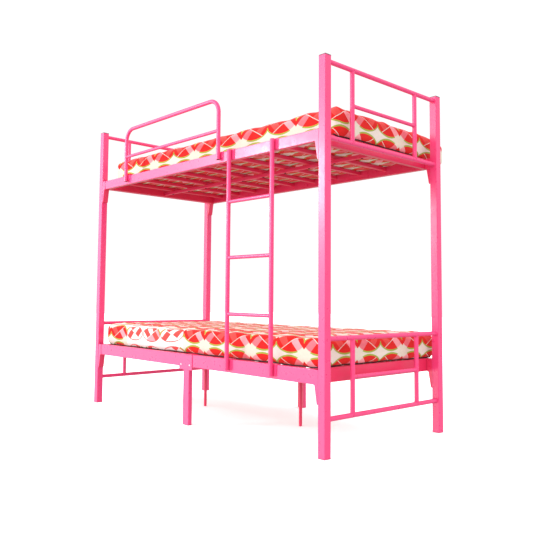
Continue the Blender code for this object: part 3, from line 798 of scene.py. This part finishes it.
def printed_cotton(name, pitch):
    """Plain-weave cotton with a roller print, read from the cover's own map, one unit to a repeat.

    The map is folded to the nearest crossing of bands: it is turned by 45 degrees, wrapped to one
    diamond of the lattice and turned back. Ovals then lie half a repeat to the side and half a row up.
    """
    made, tree, _ = new_material(name)

    lattice = add(tree, "UVMap", uv_map="print").outputs["UV"]
    turned = add(
        tree, "Mapping", {"Vector": lattice, "Rotation": (0, 0, -pi / 4), "Scale": (sqrt(0.5),) * 3}
    ).outputs[0]
    folded = add(
        tree, "VectorMath", {0: turned, 1: (0.5,) * 3, 2: (-0.5,) * 3}, operation="WRAP"
    ).outputs[0]
    steps = add(tree, "VectorMath", {0: turned, 1: folded}, operation="SUBTRACT").outputs[0]
    row = add(tree, "VectorMath", {0: steps, 1: (1, 1, 0)}, operation="DOT_PRODUCT").outputs["Value"]
    parity = add(tree, "Math", {0: row, 1: 1.0}, operation="PINGPONG").outputs[0]
    odd = add(tree, "Math", {0: parity, 1: 0.5}, operation="GREATER_THAN").outputs[0]
    local = add(
        tree, "Mapping", {"Vector": folded, "Rotation": (0, 0, pi / 4), "Scale": (sqrt(2),) * 3}
    ).outputs[0]
    real = add(tree, "VectorMath", {0: local, 1: (pitch, ROW, 0)}, operation="MULTIPLY").outputs[0]
    quarter = add(tree, "VectorMath", {0: real}, operation="ABSOLUTE").outputs[0]
    sign = add(tree, "SeparateXYZ", {"Vector": local})
    slope = add(tree, "Math", {0: sign.outputs[0], 1: sign.outputs[1]}, operation="MULTIPLY").outputs[0]
    rising = add(tree, "Math", {0: slope, 1: 0.0}, operation="GREATER_THAN").outputs[0]

    # ovals: distance from the edge is the distance from the centre times (1 - 1 / elliptical radius)
    around = add(
        tree, "VectorMath", {0: quarter, 1: (pitch / 2, ROW / 2, 0)}, operation="SUBTRACT"
    ).outputs[0]
    reach = add(tree, "VectorMath", {0: around}, operation="LENGTH").outputs["Value"]
    squeeze = (1 / (pitch / 2 + OVAL_OVER), 1 / OVAL_TALL, 0)
    squashed = add(tree, "VectorMath", {0: around, 1: squeeze}, operation="MULTIPLY").outputs[0]
    ellipse = add(tree, "VectorMath", {0: squashed}, operation="LENGTH").outputs["Value"]
    to_edge = add(tree, "Math", {0: reach, 1: ellipse}, operation="DIVIDE").outputs[0]
    edge = add(tree, "Math", {0: reach, 1: to_edge}, operation="SUBTRACT").outputs[0]
    inside = add(tree, "Math", {0: edge, 1: 0.0}, operation="LESS_THAN").outputs[0]
    near = add(tree, "Math", {0: edge, 1: RIND}, operation="LESS_THAN").outputs[0]

    # bands: distance from a line through the crossing, below it where positive
    off = add(
        tree, "VectorMath", {0: quarter, 1: (sin(BAND_ANGLE), -cos(BAND_ANGLE), 0)}, operation="DOT_PRODUCT"
    ).outputs["Value"]
    aside = add(tree, "Math", {0: off}, operation="ABSOLUTE").outputs[0]
    band = add(tree, "Math", {0: aside, 1: BAND_HALF}, operation="LESS_THAN").outputs[0]
    above = add(tree, "Math", {0: off, 1: -BAND_HALF}, operation="LESS_THAN").outputs[0]
    tall = add(tree, "SeparateXYZ", {"Vector": quarter}).outputs[1]
    low_part = add(tree, "Math", {0: tall, 1: ROW / 2}, operation="LESS_THAN").outputs[0]
    notch = add(tree, "Math", {0: above, 1: low_part}, operation="MULTIPLY").outputs[0]
    norm = sqrt(1 / pitch**2 + 1 / ROW**2)
    diagonal = add(
        tree, "VectorMath", {0: quarter, 1: (1 / pitch, 1 / ROW, 0)}, operation="DOT_PRODUCT"
    ).outputs["Value"]
    line = add(tree, "Math", {0: diagonal, 1: 1 - LINE_HALF * norm}, operation="GREATER_THAN").outputs[0]

    red, coral = to_linear("#d81e1b"), to_linear("#dd4a46")
    pale, rose = to_linear("#ee9ba2"), to_linear("#e4727c")
    cream, warm = to_linear("#e0d4ca"), to_linear("#ddd3c2")
    lime, olive, white = to_linear("#a9b84e"), to_linear("#86943a"), to_linear("#e9e4e0")

    # plain colourway
    arm = add(tree, "Mix", {"Factor": rising, 6: pale, 7: rose}, data_type="RGBA").outputs[2]
    arm = add(tree, "Mix", {"Factor": odd, 6: arm, 7: coral}, data_type="RGBA").outputs[2]
    fill = add(tree, "Mix", {"Factor": band, 6: red, 7: arm}, data_type="RGBA").outputs[2]
    fill = add(tree, "Mix", {"Factor": line, 6: fill, 7: cream}, data_type="RGBA").outputs[2]
    nearer = add(tree, "VectorMath", {0: quarter}, operation="LENGTH").outputs["Value"]
    core = add(tree, "Math", {0: nearer, 1: CORE_R}, operation="LESS_THAN").outputs[0]
    star = add(tree, "Mix", {"Factor": core, 6: cream, 7: warm}, data_type="RGBA").outputs[2]
    weft = add(tree, "TexNoise", {"Vector": lattice, "Scale": 40.0, "Detail": 2.0})
    rind = add(
        tree, "Mix", {"Factor": weft.outputs["Fac"], 6: lime, 7: olive}, data_type="RGBA"
    ).outputs[2]
    central = add(tree, "Math", {0: nearer, 1: CROSS_R}, operation="LESS_THAN").outputs[0]
    crossing = add(tree, "Math", {0: band, 1: central}, operation="MULTIPLY").outputs[0]
    uncrossed = add(tree, "Math", {0: 1.0, 1: crossing}, operation="SUBTRACT").outputs[0]
    ringed = add(tree, "Math", {0: near, 1: uncrossed}, operation="MULTIPLY").outputs[0]
    rim = add(tree, "Mix", {"Factor": ringed, 6: star, 7: rind}, data_type="RGBA").outputs[2]
    outer = add(tree, "Mix", {"Factor": notch, 6: rim, 7: red}, data_type="RGBA").outputs[2]
    plain = add(tree, "Mix", {"Factor": inside, 6: outer, 7: fill}, data_type="RGBA").outputs[2]

    # pale colourway: white with thin red outlines and a red fork under each lime tip
    outline = add(tree, "Math", {0: edge, 1: -OUTLINE}, operation="GREATER_THAN").outputs[0]
    upper = add(tree, "Math", {0: sign.outputs[1], 1: 0.0}, operation="GREATER_THAN").outputs[0]
    even = add(tree, "Math", {0: 1.0, 1: odd}, operation="SUBTRACT").outputs[0]
    even_up = add(tree, "Math", {0: upper, 1: even}, operation="MULTIPLY").outputs[0]
    lower = add(tree, "Math", {0: 1.0, 1: upper}, operation="SUBTRACT").outputs[0]
    odd_down = add(tree, "Math", {0: odd, 1: lower}, operation="MULTIPLY").outputs[0]
    forked = add(tree, "Math", {0: even_up, 1: odd_down}, operation="ADD").outputs[0]
    fork = add(tree, "Math", {0: forked, 1: band}, operation="MULTIPLY").outputs[0]
    far = pitch * sin(BAND_ANGLE) - ROW * cos(BAND_ANGLE)
    beyond = add(tree, "Math", {0: off, 1: far}, operation="GREATER_THAN").outputs[0]
    tail = add(tree, "Math", {0: lower, 1: beyond}, operation="MULTIPLY").outputs[0]
    drawn = add(tree, "Math", {0: fork, 1: tail}, operation="MAXIMUM").outputs[0]
    stroke = add(tree, "Math", {0: outline, 1: drawn}, operation="MAXIMUM").outputs[0]
    tip_side = add(tree, "Math", {0: sign.outputs[1], 1: 0.5}, operation="GREATER_THAN").outputs[0]
    tips = add(tree, "Math", {0: near, 1: tip_side}, operation="MULTIPLY").outputs[0]
    ground = add(tree, "Mix", {"Factor": tips, 6: white, 7: rind}, data_type="RGBA").outputs[2]
    falling = add(tree, "Math", {0: 1.0, 1: rising}, operation="SUBTRACT").outputs[0]
    wash = add(tree, "Math", {0: even_up, 1: falling}, operation="MULTIPLY").outputs[0]
    washed = add(tree, "Mix", {"Factor": wash, 6: white, 7: pale}, data_type="RGBA").outputs[2]
    stroked = add(tree, "Mix", {"Factor": stroke, 6: washed, 7: coral}, data_type="RGBA").outputs[2]
    lined = add(tree, "Mix", {"Factor": line, 6: stroked, 7: white}, data_type="RGBA").outputs[2]
    bleached = add(tree, "Mix", {"Factor": inside, 6: ground, 7: lined}, data_type="RGBA").outputs[2]
    way = add(tree, "Attribute", attribute_name="pale_way").outputs["Fac"]
    print_colour = add(tree, "Mix", {"Factor": way, 6: plain, 7: bleached}, data_type="RGBA").outputs[2]

    # dye takes unevenly, and the cloth's threads show as a fine darker net
    fade = add(tree, "TexNoise", {"Vector": lattice, "Scale": 7.0, "Detail": 5.0, "Roughness": 0.65})
    blotch = add(
        tree, "MapRange",
        {"Value": fade.outputs["Fac"], "From Min": 0.3, "From Max": 0.7, "To Min": 0.90, "To Max": 1.0},
    ).outputs["Result"]
    fibre = add(tree, "UVMap", uv_map="thread").outputs["UV"]
    threads = {"Vector": fibre, "Scale": 1 / THREAD / 20 * tau / 2, "Distortion": 0.6, "Detail": 1.0}
    warp = add(tree, "TexWave", threads, bands_direction="X")
    woof = add(tree, "TexWave", threads, bands_direction="Y")
    weave = add(
        tree, "Math", {0: warp.outputs["Fac"], 1: woof.outputs["Fac"]}, operation="MAXIMUM"
    ).outputs[0]
    raised = add(tree, "Math", {0: weave, 1: 0.07}, operation="MULTIPLY").outputs[0]
    dimmed = add(tree, "Math", {0: 0.93, 1: raised}, operation="ADD").outputs[0]
    shade = add(tree, "Math", {0: blotch, 1: dimmed}, operation="MULTIPLY").outputs[0]
    dyed = add(tree, "VectorMath", {0: print_colour, "Scale": shade}, operation="SCALE").outputs[0]
    bump = add(tree, "Bump", {"Height": weave, "Strength": 0.35, "Distance": 0.15 * MM})
    shader = add(
        tree, "BsdfPrincipled",
        {"Base Color": dyed, "Roughness": 0.86, "IOR": 1.45, "Specular IOR Level": 0.2,
         "Sheen Weight": 0.06, "Sheen Roughness": 0.5,
         "Normal": bump.outputs["Normal"]},
    )
    add(tree, "OutputMaterial", {"Surface": shader.outputs["BSDF"]})
    return made


def sewn_cotton(name, deep, pale):
    """Cord or tape over a seam: twill with a shadow between its ribs."""
    made, tree, place = new_material(name)
    ribs = add(tree, "TexWave", {"Vector": place, "Scale": 1 / (2 * MM) / 20 * tau, "Distortion": 1.0},
               bands_direction="DIAGONAL")
    tone = add(tree, "Mix", {"Factor": ribs.outputs["Fac"], 6: to_linear(deep), 7: to_linear(pale)},
               data_type="RGBA")
    bump = add(tree, "Bump", {"Height": ribs.outputs["Fac"], "Strength": 0.5, "Distance": 0.2 * MM})
    shader = add(
        tree, "BsdfPrincipled",
        {"Base Color": tone.outputs[2], "Roughness": 0.9, "Normal": bump.outputs["Normal"]},
    )
    add(tree, "OutputMaterial", {"Surface": shader.outputs["BSDF"]})
    return made


def cover_outline(half, corner, cells):
    """Rounded rectangle as four sides, each from the middle of one corner's arc to the next one's.

    Every side has the same count of points as the grid line it bounds, so that panels can be stretched
    between the sides. Returned counter-clockwise from the front left corner, without repeats.
    """
    sides = []
    for quarter in range(4):
        a, b = (half[0], half[1]) if quarter % 2 == 0 else (half[1], half[0])
        count = cells[quarter % 2]
        early = radians(225) + np.linspace(0, pi / 4, CORNER_CELLS + 1)[:-1]
        late = radians(270) + np.linspace(0, pi / 4, CORNER_CELLS + 1)
        run = np.linspace(-(a - corner), a - corner, count - 2 * CORNER_CELLS + 1)[1:-1]
        x = np.concatenate([
            -(a - corner) + corner * np.cos(early), [-(a - corner)], run, a - corner + corner * np.cos(late),
        ])
        y = np.concatenate([
            -(b - corner) + corner * np.sin(early), np.full(len(run) + 1, -b),
            -(b - corner) + corner * np.sin(late),
        ])
        c, s = round(cos(quarter * pi / 2)), round(sin(quarter * pi / 2))
        sides.append(np.stack([c * x - s * y, s * x + c * y], axis=1)[:-1])
    return np.concatenate(sides)


def stretched_panel(loop, nx, ny):
    """Grid filled between the four sides of a loop.

    Each point is the blend of the two points facing it across, plus the blend of the two facing it
    along, less the blend of the four corners.
    """
    front = loop[: nx + 1]
    right = loop[nx : nx + ny + 1]
    back = loop[nx + ny : 2 * nx + ny + 1][::-1]
    left = np.concatenate([loop[2 * nx + ny :], loop[:1]])[::-1]
    u = np.linspace(0, 1, nx + 1)[None, :, None]
    v = np.linspace(0, 1, ny + 1)[:, None, None]
    rows = (1 - v) * front[None] + v * back[None]
    columns = (1 - u) * left[:, None] + u * right[:, None]
    corners = (
        (1 - v) * ((1 - u) * front[0] + u * front[-1]) + v * ((1 - u) * back[0] + u * back[-1])
    )
    return rows + columns - corners


def cover(half, inset):
    """The cover's points and faces, with each face corner's place on the border or panel.

    A ring of the outline is carried from the bottom rim to the top rim. Across each rim its inset is
    R - R sin(t) and its height R - R cos(t) from the panel. The flat panels are stretched inside.
    """
    nx = int(round(2 * half[0] / CELL))
    ny = int(round(2 * half[1] / CELL))
    inner = half - inset
    turn = np.linspace(0, pi / 2, RIM_ROWS + 1)
    rise = RIM_R * (1 - np.cos(turn))
    draw = RIM_R * (1 - np.sin(turn))
    wall = np.linspace(0, 1, WALL_ROWS + 1)[1:-1]
    heights = np.concatenate([
        -inner[2] + rise, -inner[2] + RIM_R + wall * 2 * (inner[2] - RIM_R), inner[2] - rise[::-1],
    ])
    draws = np.concatenate([draw, 0 * wall, draw[::-1]])
    rings = []
    for height, gap in zip(heights, draws):
        loop = cover_outline(inner[:2] - gap, CORNER_R - gap, (nx, ny))
        rings.append(np.column_stack([loop, np.full(len(loop), height)]))
    rings = np.stack(rings)
    levels, around = rings.shape[:2]
    points = [rings.reshape(-1, 3)]
    index = np.arange(levels * around).reshape(levels, around)
    ring = np.concatenate([index, index[:, :1]], axis=1)
    faces = [np.stack([ring[:-1, :-1], ring[:-1, 1:], ring[1:, 1:], ring[1:, :-1]], axis=-1).reshape(-1, 4)]
    column = np.arange(around + 1)
    at = np.stack(np.meshgrid(np.arange(levels), column, indexing="ij"), axis=-1)
    corners = [np.stack([at[:-1, :-1], at[:-1, 1:], at[1:, 1:], at[1:, :-1]], axis=2).reshape(-1, 4, 2)]
    count = levels * around
    for level, upward in ((0, False), (levels - 1, True)):
        panel = stretched_panel(rings[level, :, :2], nx, ny)
        inside = panel[1:-1, 1:-1].reshape(-1, 2)
        points.append(np.column_stack([inside, np.full(len(inside), heights[level])]))
        number = np.zeros((ny + 1, nx + 1), int)
        number[1:-1, 1:-1] = count + np.arange(len(inside)).reshape(ny - 1, nx - 1)
        count += len(inside)
        edge = index[level]
        number[0, :] = edge[: nx + 1]
        number[:, nx] = edge[nx : nx + ny + 1]
        number[ny, :] = edge[nx + ny : 2 * nx + ny + 1][::-1]
        number[1:, 0] = edge[2 * nx + ny :][::-1]
        number[0, 0] = edge[0]
        four = [number[:-1, :-1], number[:-1, 1:], number[1:, 1:], number[1:, :-1]]
        quads = np.stack(four, axis=-1).reshape(-1, 4)
        faces.append(quads if upward else quads[:, ::-1])
    return np.concatenate(points), faces, corners[0], rings


def swelled(shell, start):
    """Cloth pumped up a little, with a cap on how far each point may move."""
    scene = bpy.context.scene
    cloth = shell.modifiers.new("cloth", "CLOTH")
    fabric = cloth.settings
    fabric.quality = 4
    fabric.use_pressure = True
    fabric.uniform_pressure_force = PRESSURE
    fabric.shrink_min = -0.012
    fabric.bending_stiffness = 0.4
    fabric.effector_weights.gravity = 0.0
    cloth.collision_settings.use_collision = False
    cloth.point_cache.frame_start = 1
    cloth.point_cache.frame_end = FRAMES
    for step in range(1, FRAMES + 1):
        scene.frame_set(step)
    graph = bpy.context.evaluated_depsgraph_get()
    mesh = shell.evaluated_get(graph).to_mesh()
    moved = np.empty(len(start) * 3)
    mesh.vertices.foreach_get("co", moved)
    shell.evaluated_get(graph).to_mesh_clear()
    shell.modifiers.remove(cloth)
    scene.frame_set(1)
    move = moved.reshape(-1, 3) - start
    far = np.linalg.norm(move, axis=1, keepdims=True)
    return start + move * np.minimum(1.0, CAP / np.maximum(far, 1e-9))


def mattress(node, name, pitch, first, row_height, pale_span, taller):
    """One mattress: cover, pressure, small ripples on its panels, then turned and set on its deck."""
    low, _, mid = extent(node)
    tilt = TILT if node == "upper_mattress" else 0.0
    start, faces, places, rings = cover(HALF, START_INSET)
    x, y, z = start.T
    ripple = (
        0.9 * np.sin(x * 31 + 1.3 * np.sin(y * 17)) + 0.7 * np.sin(y * 43 + 2.1 * np.sin(x * 9) + 1.0)
        + 0.5 * np.sin((x + y) * 67 + 0.7)
    )
    flat = np.clip((np.abs(z) - HALF[2] + 30 * MM) / (24 * MM), 0, 1)
    start[:, 2] += ripple * flat * np.where(z > 0, 2.6 * MM, -0.8 * MM)
    mesh = bpy.data.meshes.new(name)
    quads = np.concatenate(faces)
    mesh.from_pydata(start.tolist(), [], quads.tolist())
    shell = bpy.data.objects.new(name, mesh)
    bpy.context.scene.collection.objects.link(shell)
    soft = swelled(shell, start)

    # the print runs round the border from the front; panels take it straight from their plan
    outline = cover_outline(HALF[:2], CORNER_R, tuple(int(round(2 * h / CELL)) for h in HALF[:2]))
    ahead = np.roll(outline, -1, axis=0)
    arc = np.concatenate([[0.0], np.cumsum(np.linalg.norm(ahead - outline, axis=1))])
    front_middle = HALF[0] - CORNER_R + CORNER_R * pi / 4
    run = arc - front_middle
    border = places[..., 1]
    along = run[border]
    height = np.interp(places[..., 0], np.arange(len(rings)), arc_heights(rings))
    left = np.clip((PALE_FROM - along) / PALE_EASE, 0, 1) if pale_span else 0 * along
    shifted = along + PALE_SHIFT * left
    lattice = np.stack([(shifted - first) / pitch, (height - row_height + PALE_RISE * left) / ROW], axis=-1)
    panels = [start[face][..., :2] for face in faces[1:]]
    flats = [np.stack([(p[..., 0] - first) / pitch, p[..., 1] / ROW], axis=-1) for p in panels]
    uv = np.concatenate([lattice] + flats).reshape(-1)
    thread = np.concatenate([np.stack([along, height], axis=-1)] + panels).reshape(-1)
    for layer, values in (("print", uv), ("thread", thread)):
        mesh.uv_layers.new(name=layer).data.foreach_set("uv", values.astype(np.float32))
    way = mesh.attributes.new("pale_way", "FLOAT", "CORNER")
    bleach = np.zeros((len(quads), 4))
    if pale_span:
        within = (along > pale_span[0]) & (along < pale_span[1])
        bleach[: len(along)] = within.mean(axis=1, keepdims=True) > 0.5
    way.data.foreach_set("value", bleach.reshape(-1).astype(np.float32))

    # kept in its box, a little taller than flat, then turned and set down on the rails
    soft[:, :2] = np.clip(soft[:, :2], -HALF[:2] + 0.6 * MM, HALF[:2] - 0.6 * MM)
    soft[:, 2] = np.clip(soft[:, 2], -HALF[2], HALF[2] + BULGE)
    soft[:, 2] = (soft[:, 2] + HALF[2]) * taller
    c, s = cos(tilt), sin(tilt)
    soft = soft @ np.array([[c, s, 0], [-s, c, 0], [0, 0, 1]]) + [mid[0], mid[1], low[2]]

    # between the rails the underside sinks onto the slats, and past the back rail it hangs
    x, y, z = soft.T
    under = np.clip(1 - (z - low[2]) / (45 * MM), 0, 1) ** 2
    between = np.clip((SINK_X - np.abs(x)) / (12 * MM), 0, 1) * np.clip((SINK_BACK - y) / (12 * MM), 0, 1)
    past = np.clip(y - HANG_BACK, 0, None)
    soft[:, 2] -= SINK * between * under + HANG * (past / HANG_EASE) ** 1.5
    over_end = np.clip((np.abs(x) - DROOP_X) / (15 * MM), 0, 1)
    soft[:, 2] -= DROOP * over_end * under
    if tilt:
        corner = np.clip((x - PULL_X) / PULL_EASE, 0, 1) ** 2 * np.clip((y - PULL_Y) / PULL_EASE, 0, 1)
        soft[:, 1] += PULL * corner
        soft[:, 2] -= PULL_DOWN * corner
    else:
        soft[:, 0] -= REACH_LEFT * np.clip((-x - REACH_X) / REACH_EASE, 0, 1)
    mesh.vertices.foreach_set("co", soft.reshape(-1))
    mesh.polygons.foreach_set("use_smooth", np.ones(len(quads), bool))
    fine = shell.modifiers.new("fine", "SUBSURF")
    fine.levels = fine.render_levels = 1
    fine.uv_smooth = "NONE"
    graph = bpy.context.evaluated_depsgraph_get()
    smooth = bpy.data.meshes.new_from_object(shell.evaluated_get(graph))
    shell.modifiers.remove(fine)
    seams = []
    # the lowest seam gets a black tape cord: painted shadow for the dark gap between mattress and rail
    for level, radius in ((1, SHADOW_TAPE_R), (len(rings) - 1, PIPING_R)):
        path = soft[level * rings.shape[1] : (level + 1) * rings.shape[1]]
        path = (np.roll(path, 1, axis=0) + 4 * path + np.roll(path, -1, axis=0)) / 6
        seams.append(piping(path, radius))
    shell.data = smooth
    smooth.name = name
    bpy.data.meshes.remove(mesh)
    smooth.materials.clear()
    smooth.materials.append(printed_cotton("printed cotton, " + name, pitch))
    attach(shell, node)
    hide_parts(node)
    sewn = sewn_cotton("cotton twill piping, " + name, "#c9414a", "#e4616a")
    # black tape: painted shadow along the bottom seam
    tape = sewn_cotton("black tape, painted seam shadow, " + name, "#151113", "#2a2326")
    groups = [(tape, seams[:1]), (sewn, seams[1:])]
    placed(name.replace("mattress", "piping"), groups, node, [])


def piping(path, radius):
    """Closed cord carried round a seam: a circle of radius r square to the seam at each point."""
    count = len(path)
    ahead = np.roll(path, -1, axis=0) - np.roll(path, 1, axis=0)
    ahead /= np.linalg.norm(ahead, axis=1, keepdims=True)
    side = np.cross(ahead, [0, 0, 1])
    side /= np.linalg.norm(side, axis=1, keepdims=True)
    rise = np.cross(side, ahead)
    turn = np.linspace(0, tau, PIPING_SIDES, endpoint=False)[None, :, None]
    rows = path[:, None] + radius * (np.cos(turn) * side[:, None] + np.sin(turn) * rise[:, None])
    index = np.arange(count * PIPING_SIDES).reshape(count, PIPING_SIDES)
    beyond = np.roll(index, -1, axis=0)
    faces = np.stack([index, np.roll(index, -1, axis=1), np.roll(beyond, -1, axis=1), beyond], axis=-1)
    return rows.reshape(-1, 3), faces.reshape(-1, 4)


def arc_heights(rings):
    """Length of cloth from the bottom panel up to each ring, centred to give a flat border its height."""
    step = np.linalg.norm(np.diff(rings[:, 0], axis=0), axis=1)
    length = np.concatenate([[0.0], np.cumsum(step)])
    return length - length[-1] / 2 + HALF[2]


mattress("lower_mattress", "mattress_lower", 181.5 * MM, 816.6 * MM, 48 * MM, (-0.692, -0.0895), 1.03)
mattress("upper_mattress", "mattress_upper", 193.8 * MM, 279.6 * MM, 48 * MM, None, 1.06)


# ---------------------------------------------------------------------------
# Studio
# A white floor, a small key light from the front left, a large soft fill in front and a low camera.
# Glossy rays see a sky that is brighter to the front left, and the camera sees a plain white backdrop.
# ---------------------------------------------------------------------------

SKY = 1.72
GROUND = 0.85
GLOSS_LEFT = 4.2
GLOSS_RIGHT = 0.7
GLOSS_FLOOR = 0.75
BACKDROP = 1.05
GLOSS_WAY = (-0.5, -0.866, 0.0)
GLOSS_FROM = 0.55
FLOOR_SIDE = 40.0
BED_Y = -0.0515
CAMERA_AT = (2.8116, -2.5727 + BED_Y, 0.6765)
CAMERA_TURN = radians(48.40)
CAMERA_UP = radians(3.98)
CAMERA_ROLL = radians(0.608)
LENS = 43.94
SHIFT = (0.0482, -0.0263)

scene = bpy.context.scene
scene.view_settings.view_transform = "Standard"
world = bpy.data.worlds.new("studio")
scene.world = world
world.use_nodes = True
tree = world.node_tree
tree.nodes.clear()
way = add(tree, "TexCoord").outputs["Generated"]
up = add(tree, "SeparateXYZ", {"Vector": way}).outputs[2]
tilt = add(tree, "VectorMath", {0: way, 1: GLOSS_WAY}, operation="DOT_PRODUCT").outputs["Value"]
lit = add(
    tree, "MapRange",
    {"Value": tilt, "From Min": GLOSS_FROM, "From Max": 1.0, "To Min": GLOSS_RIGHT, "To Max": GLOSS_LEFT},
)
glow = add(tree, "LightPath").outputs["Is Glossy Ray"]
top = add(tree, "Mix", {"Factor": glow, 2: SKY, 3: lit.outputs["Result"]}, data_type="FLOAT").outputs[0]
white_floor = add(tree, "Math", {0: lit.outputs["Result"], 1: GLOSS_FLOOR}, operation="MULTIPLY").outputs[0]
under = add(tree, "Mix", {"Factor": glow, 2: GROUND, 3: white_floor}, data_type="FLOAT").outputs[0]
height = add(
    tree, "MapRange",
    {"Value": up, "From Min": -0.06, "From Max": 0.0, "To Min": under, "To Max": top},
)
sky = add(tree, "Background", {"Color": (1, 1, 1, 1), "Strength": height.outputs["Result"]})
white = add(tree, "Background", {"Color": (1, 1, 1, 1), "Strength": BACKDROP})
seen = add(tree, "LightPath").outputs["Is Camera Ray"]
both = add(tree, "MixShader", {0: seen, 1: sky.outputs[0], 2: white.outputs[0]})
add(tree, "OutputWorld", {"Surface": both.outputs[0]})

paper, tree, place = new_material("seamless paper")
fibres = add(tree, "TexNoise", {"Vector": place, "Scale": 300.0, "Detail": 3.0})
bump = add(tree, "Bump", {"Height": fibres.outputs["Fac"], "Strength": 0.05, "Distance": 0.2 * MM})
shader = add(tree, "BsdfPrincipled", {
    "Base Color": (0.92, 0.92, 0.92, 1), "Roughness": 0.9, "Specular IOR Level": 0.0,
    "Emission Color": (1, 1, 1, 1), "Emission Strength": 0.4, "Normal": bump.outputs["Normal"],
})
add(tree, "OutputMaterial", {"Surface": shader.outputs["BSDF"]})
half = FLOOR_SIDE / 2
mesh = bpy.data.meshes.new("floor")
mesh.from_pydata([(-half, -half, 0), (half, -half, 0), (half, half, 0), (-half, half, 0)], [], [(0, 1, 2, 3)])
mesh.materials.append(paper)
floor = bpy.data.objects.new("floor", mesh)
scene.collection.objects.link(floor)
floor.visible_diffuse = False
floor.visible_glossy = False


def soft_box(name, at, target, size, radiance):
    """Square area light; its power is radiance times area times four."""
    lamp = bpy.data.lights.new(name, "AREA")
    lamp.shape = "SQUARE"
    lamp.size = size
    lamp.energy = radiance * size * size * 4
    made = bpy.data.objects.new(name, lamp)
    scene.collection.objects.link(made)
    made.location = at
    made.rotation_euler = (Vector(target) - Vector(at)).to_track_quat("-Z", "Y").to_euler()


soft_box("key", (-2.05, -3.35, 1.95), (0.75, -0.5, 1.4), 0.72, 32.0)
soft_box("fill", (0.5, -5.0, 2.2), (0.2, 0.0, 0.8), 2.6, 2.0)

a, e = CAMERA_TURN, CAMERA_UP
ahead = Vector((-sin(a) * cos(e), cos(a) * cos(e), sin(e)))
right = ahead.cross(Vector((0, 0, 1))).normalized()
up = right.cross(ahead)
side = right * cos(CAMERA_ROLL) + up * sin(CAMERA_ROLL)
top = up * cos(CAMERA_ROLL) - right * sin(CAMERA_ROLL)
lens = bpy.data.cameras.new("camera")
lens.lens = LENS
lens.shift_x, lens.shift_y = SHIFT
camera = bpy.data.objects.new("camera", lens)
scene.collection.objects.link(camera)
camera.matrix_world = Matrix((
    (side.x, top.x, -ahead.x, CAMERA_AT[0]),
    (side.y, top.y, -ahead.y, CAMERA_AT[1]),
    (side.z, top.z, -ahead.z, CAMERA_AT[2]),
    (0, 0, 0, 1),
))
scene.camera = camera
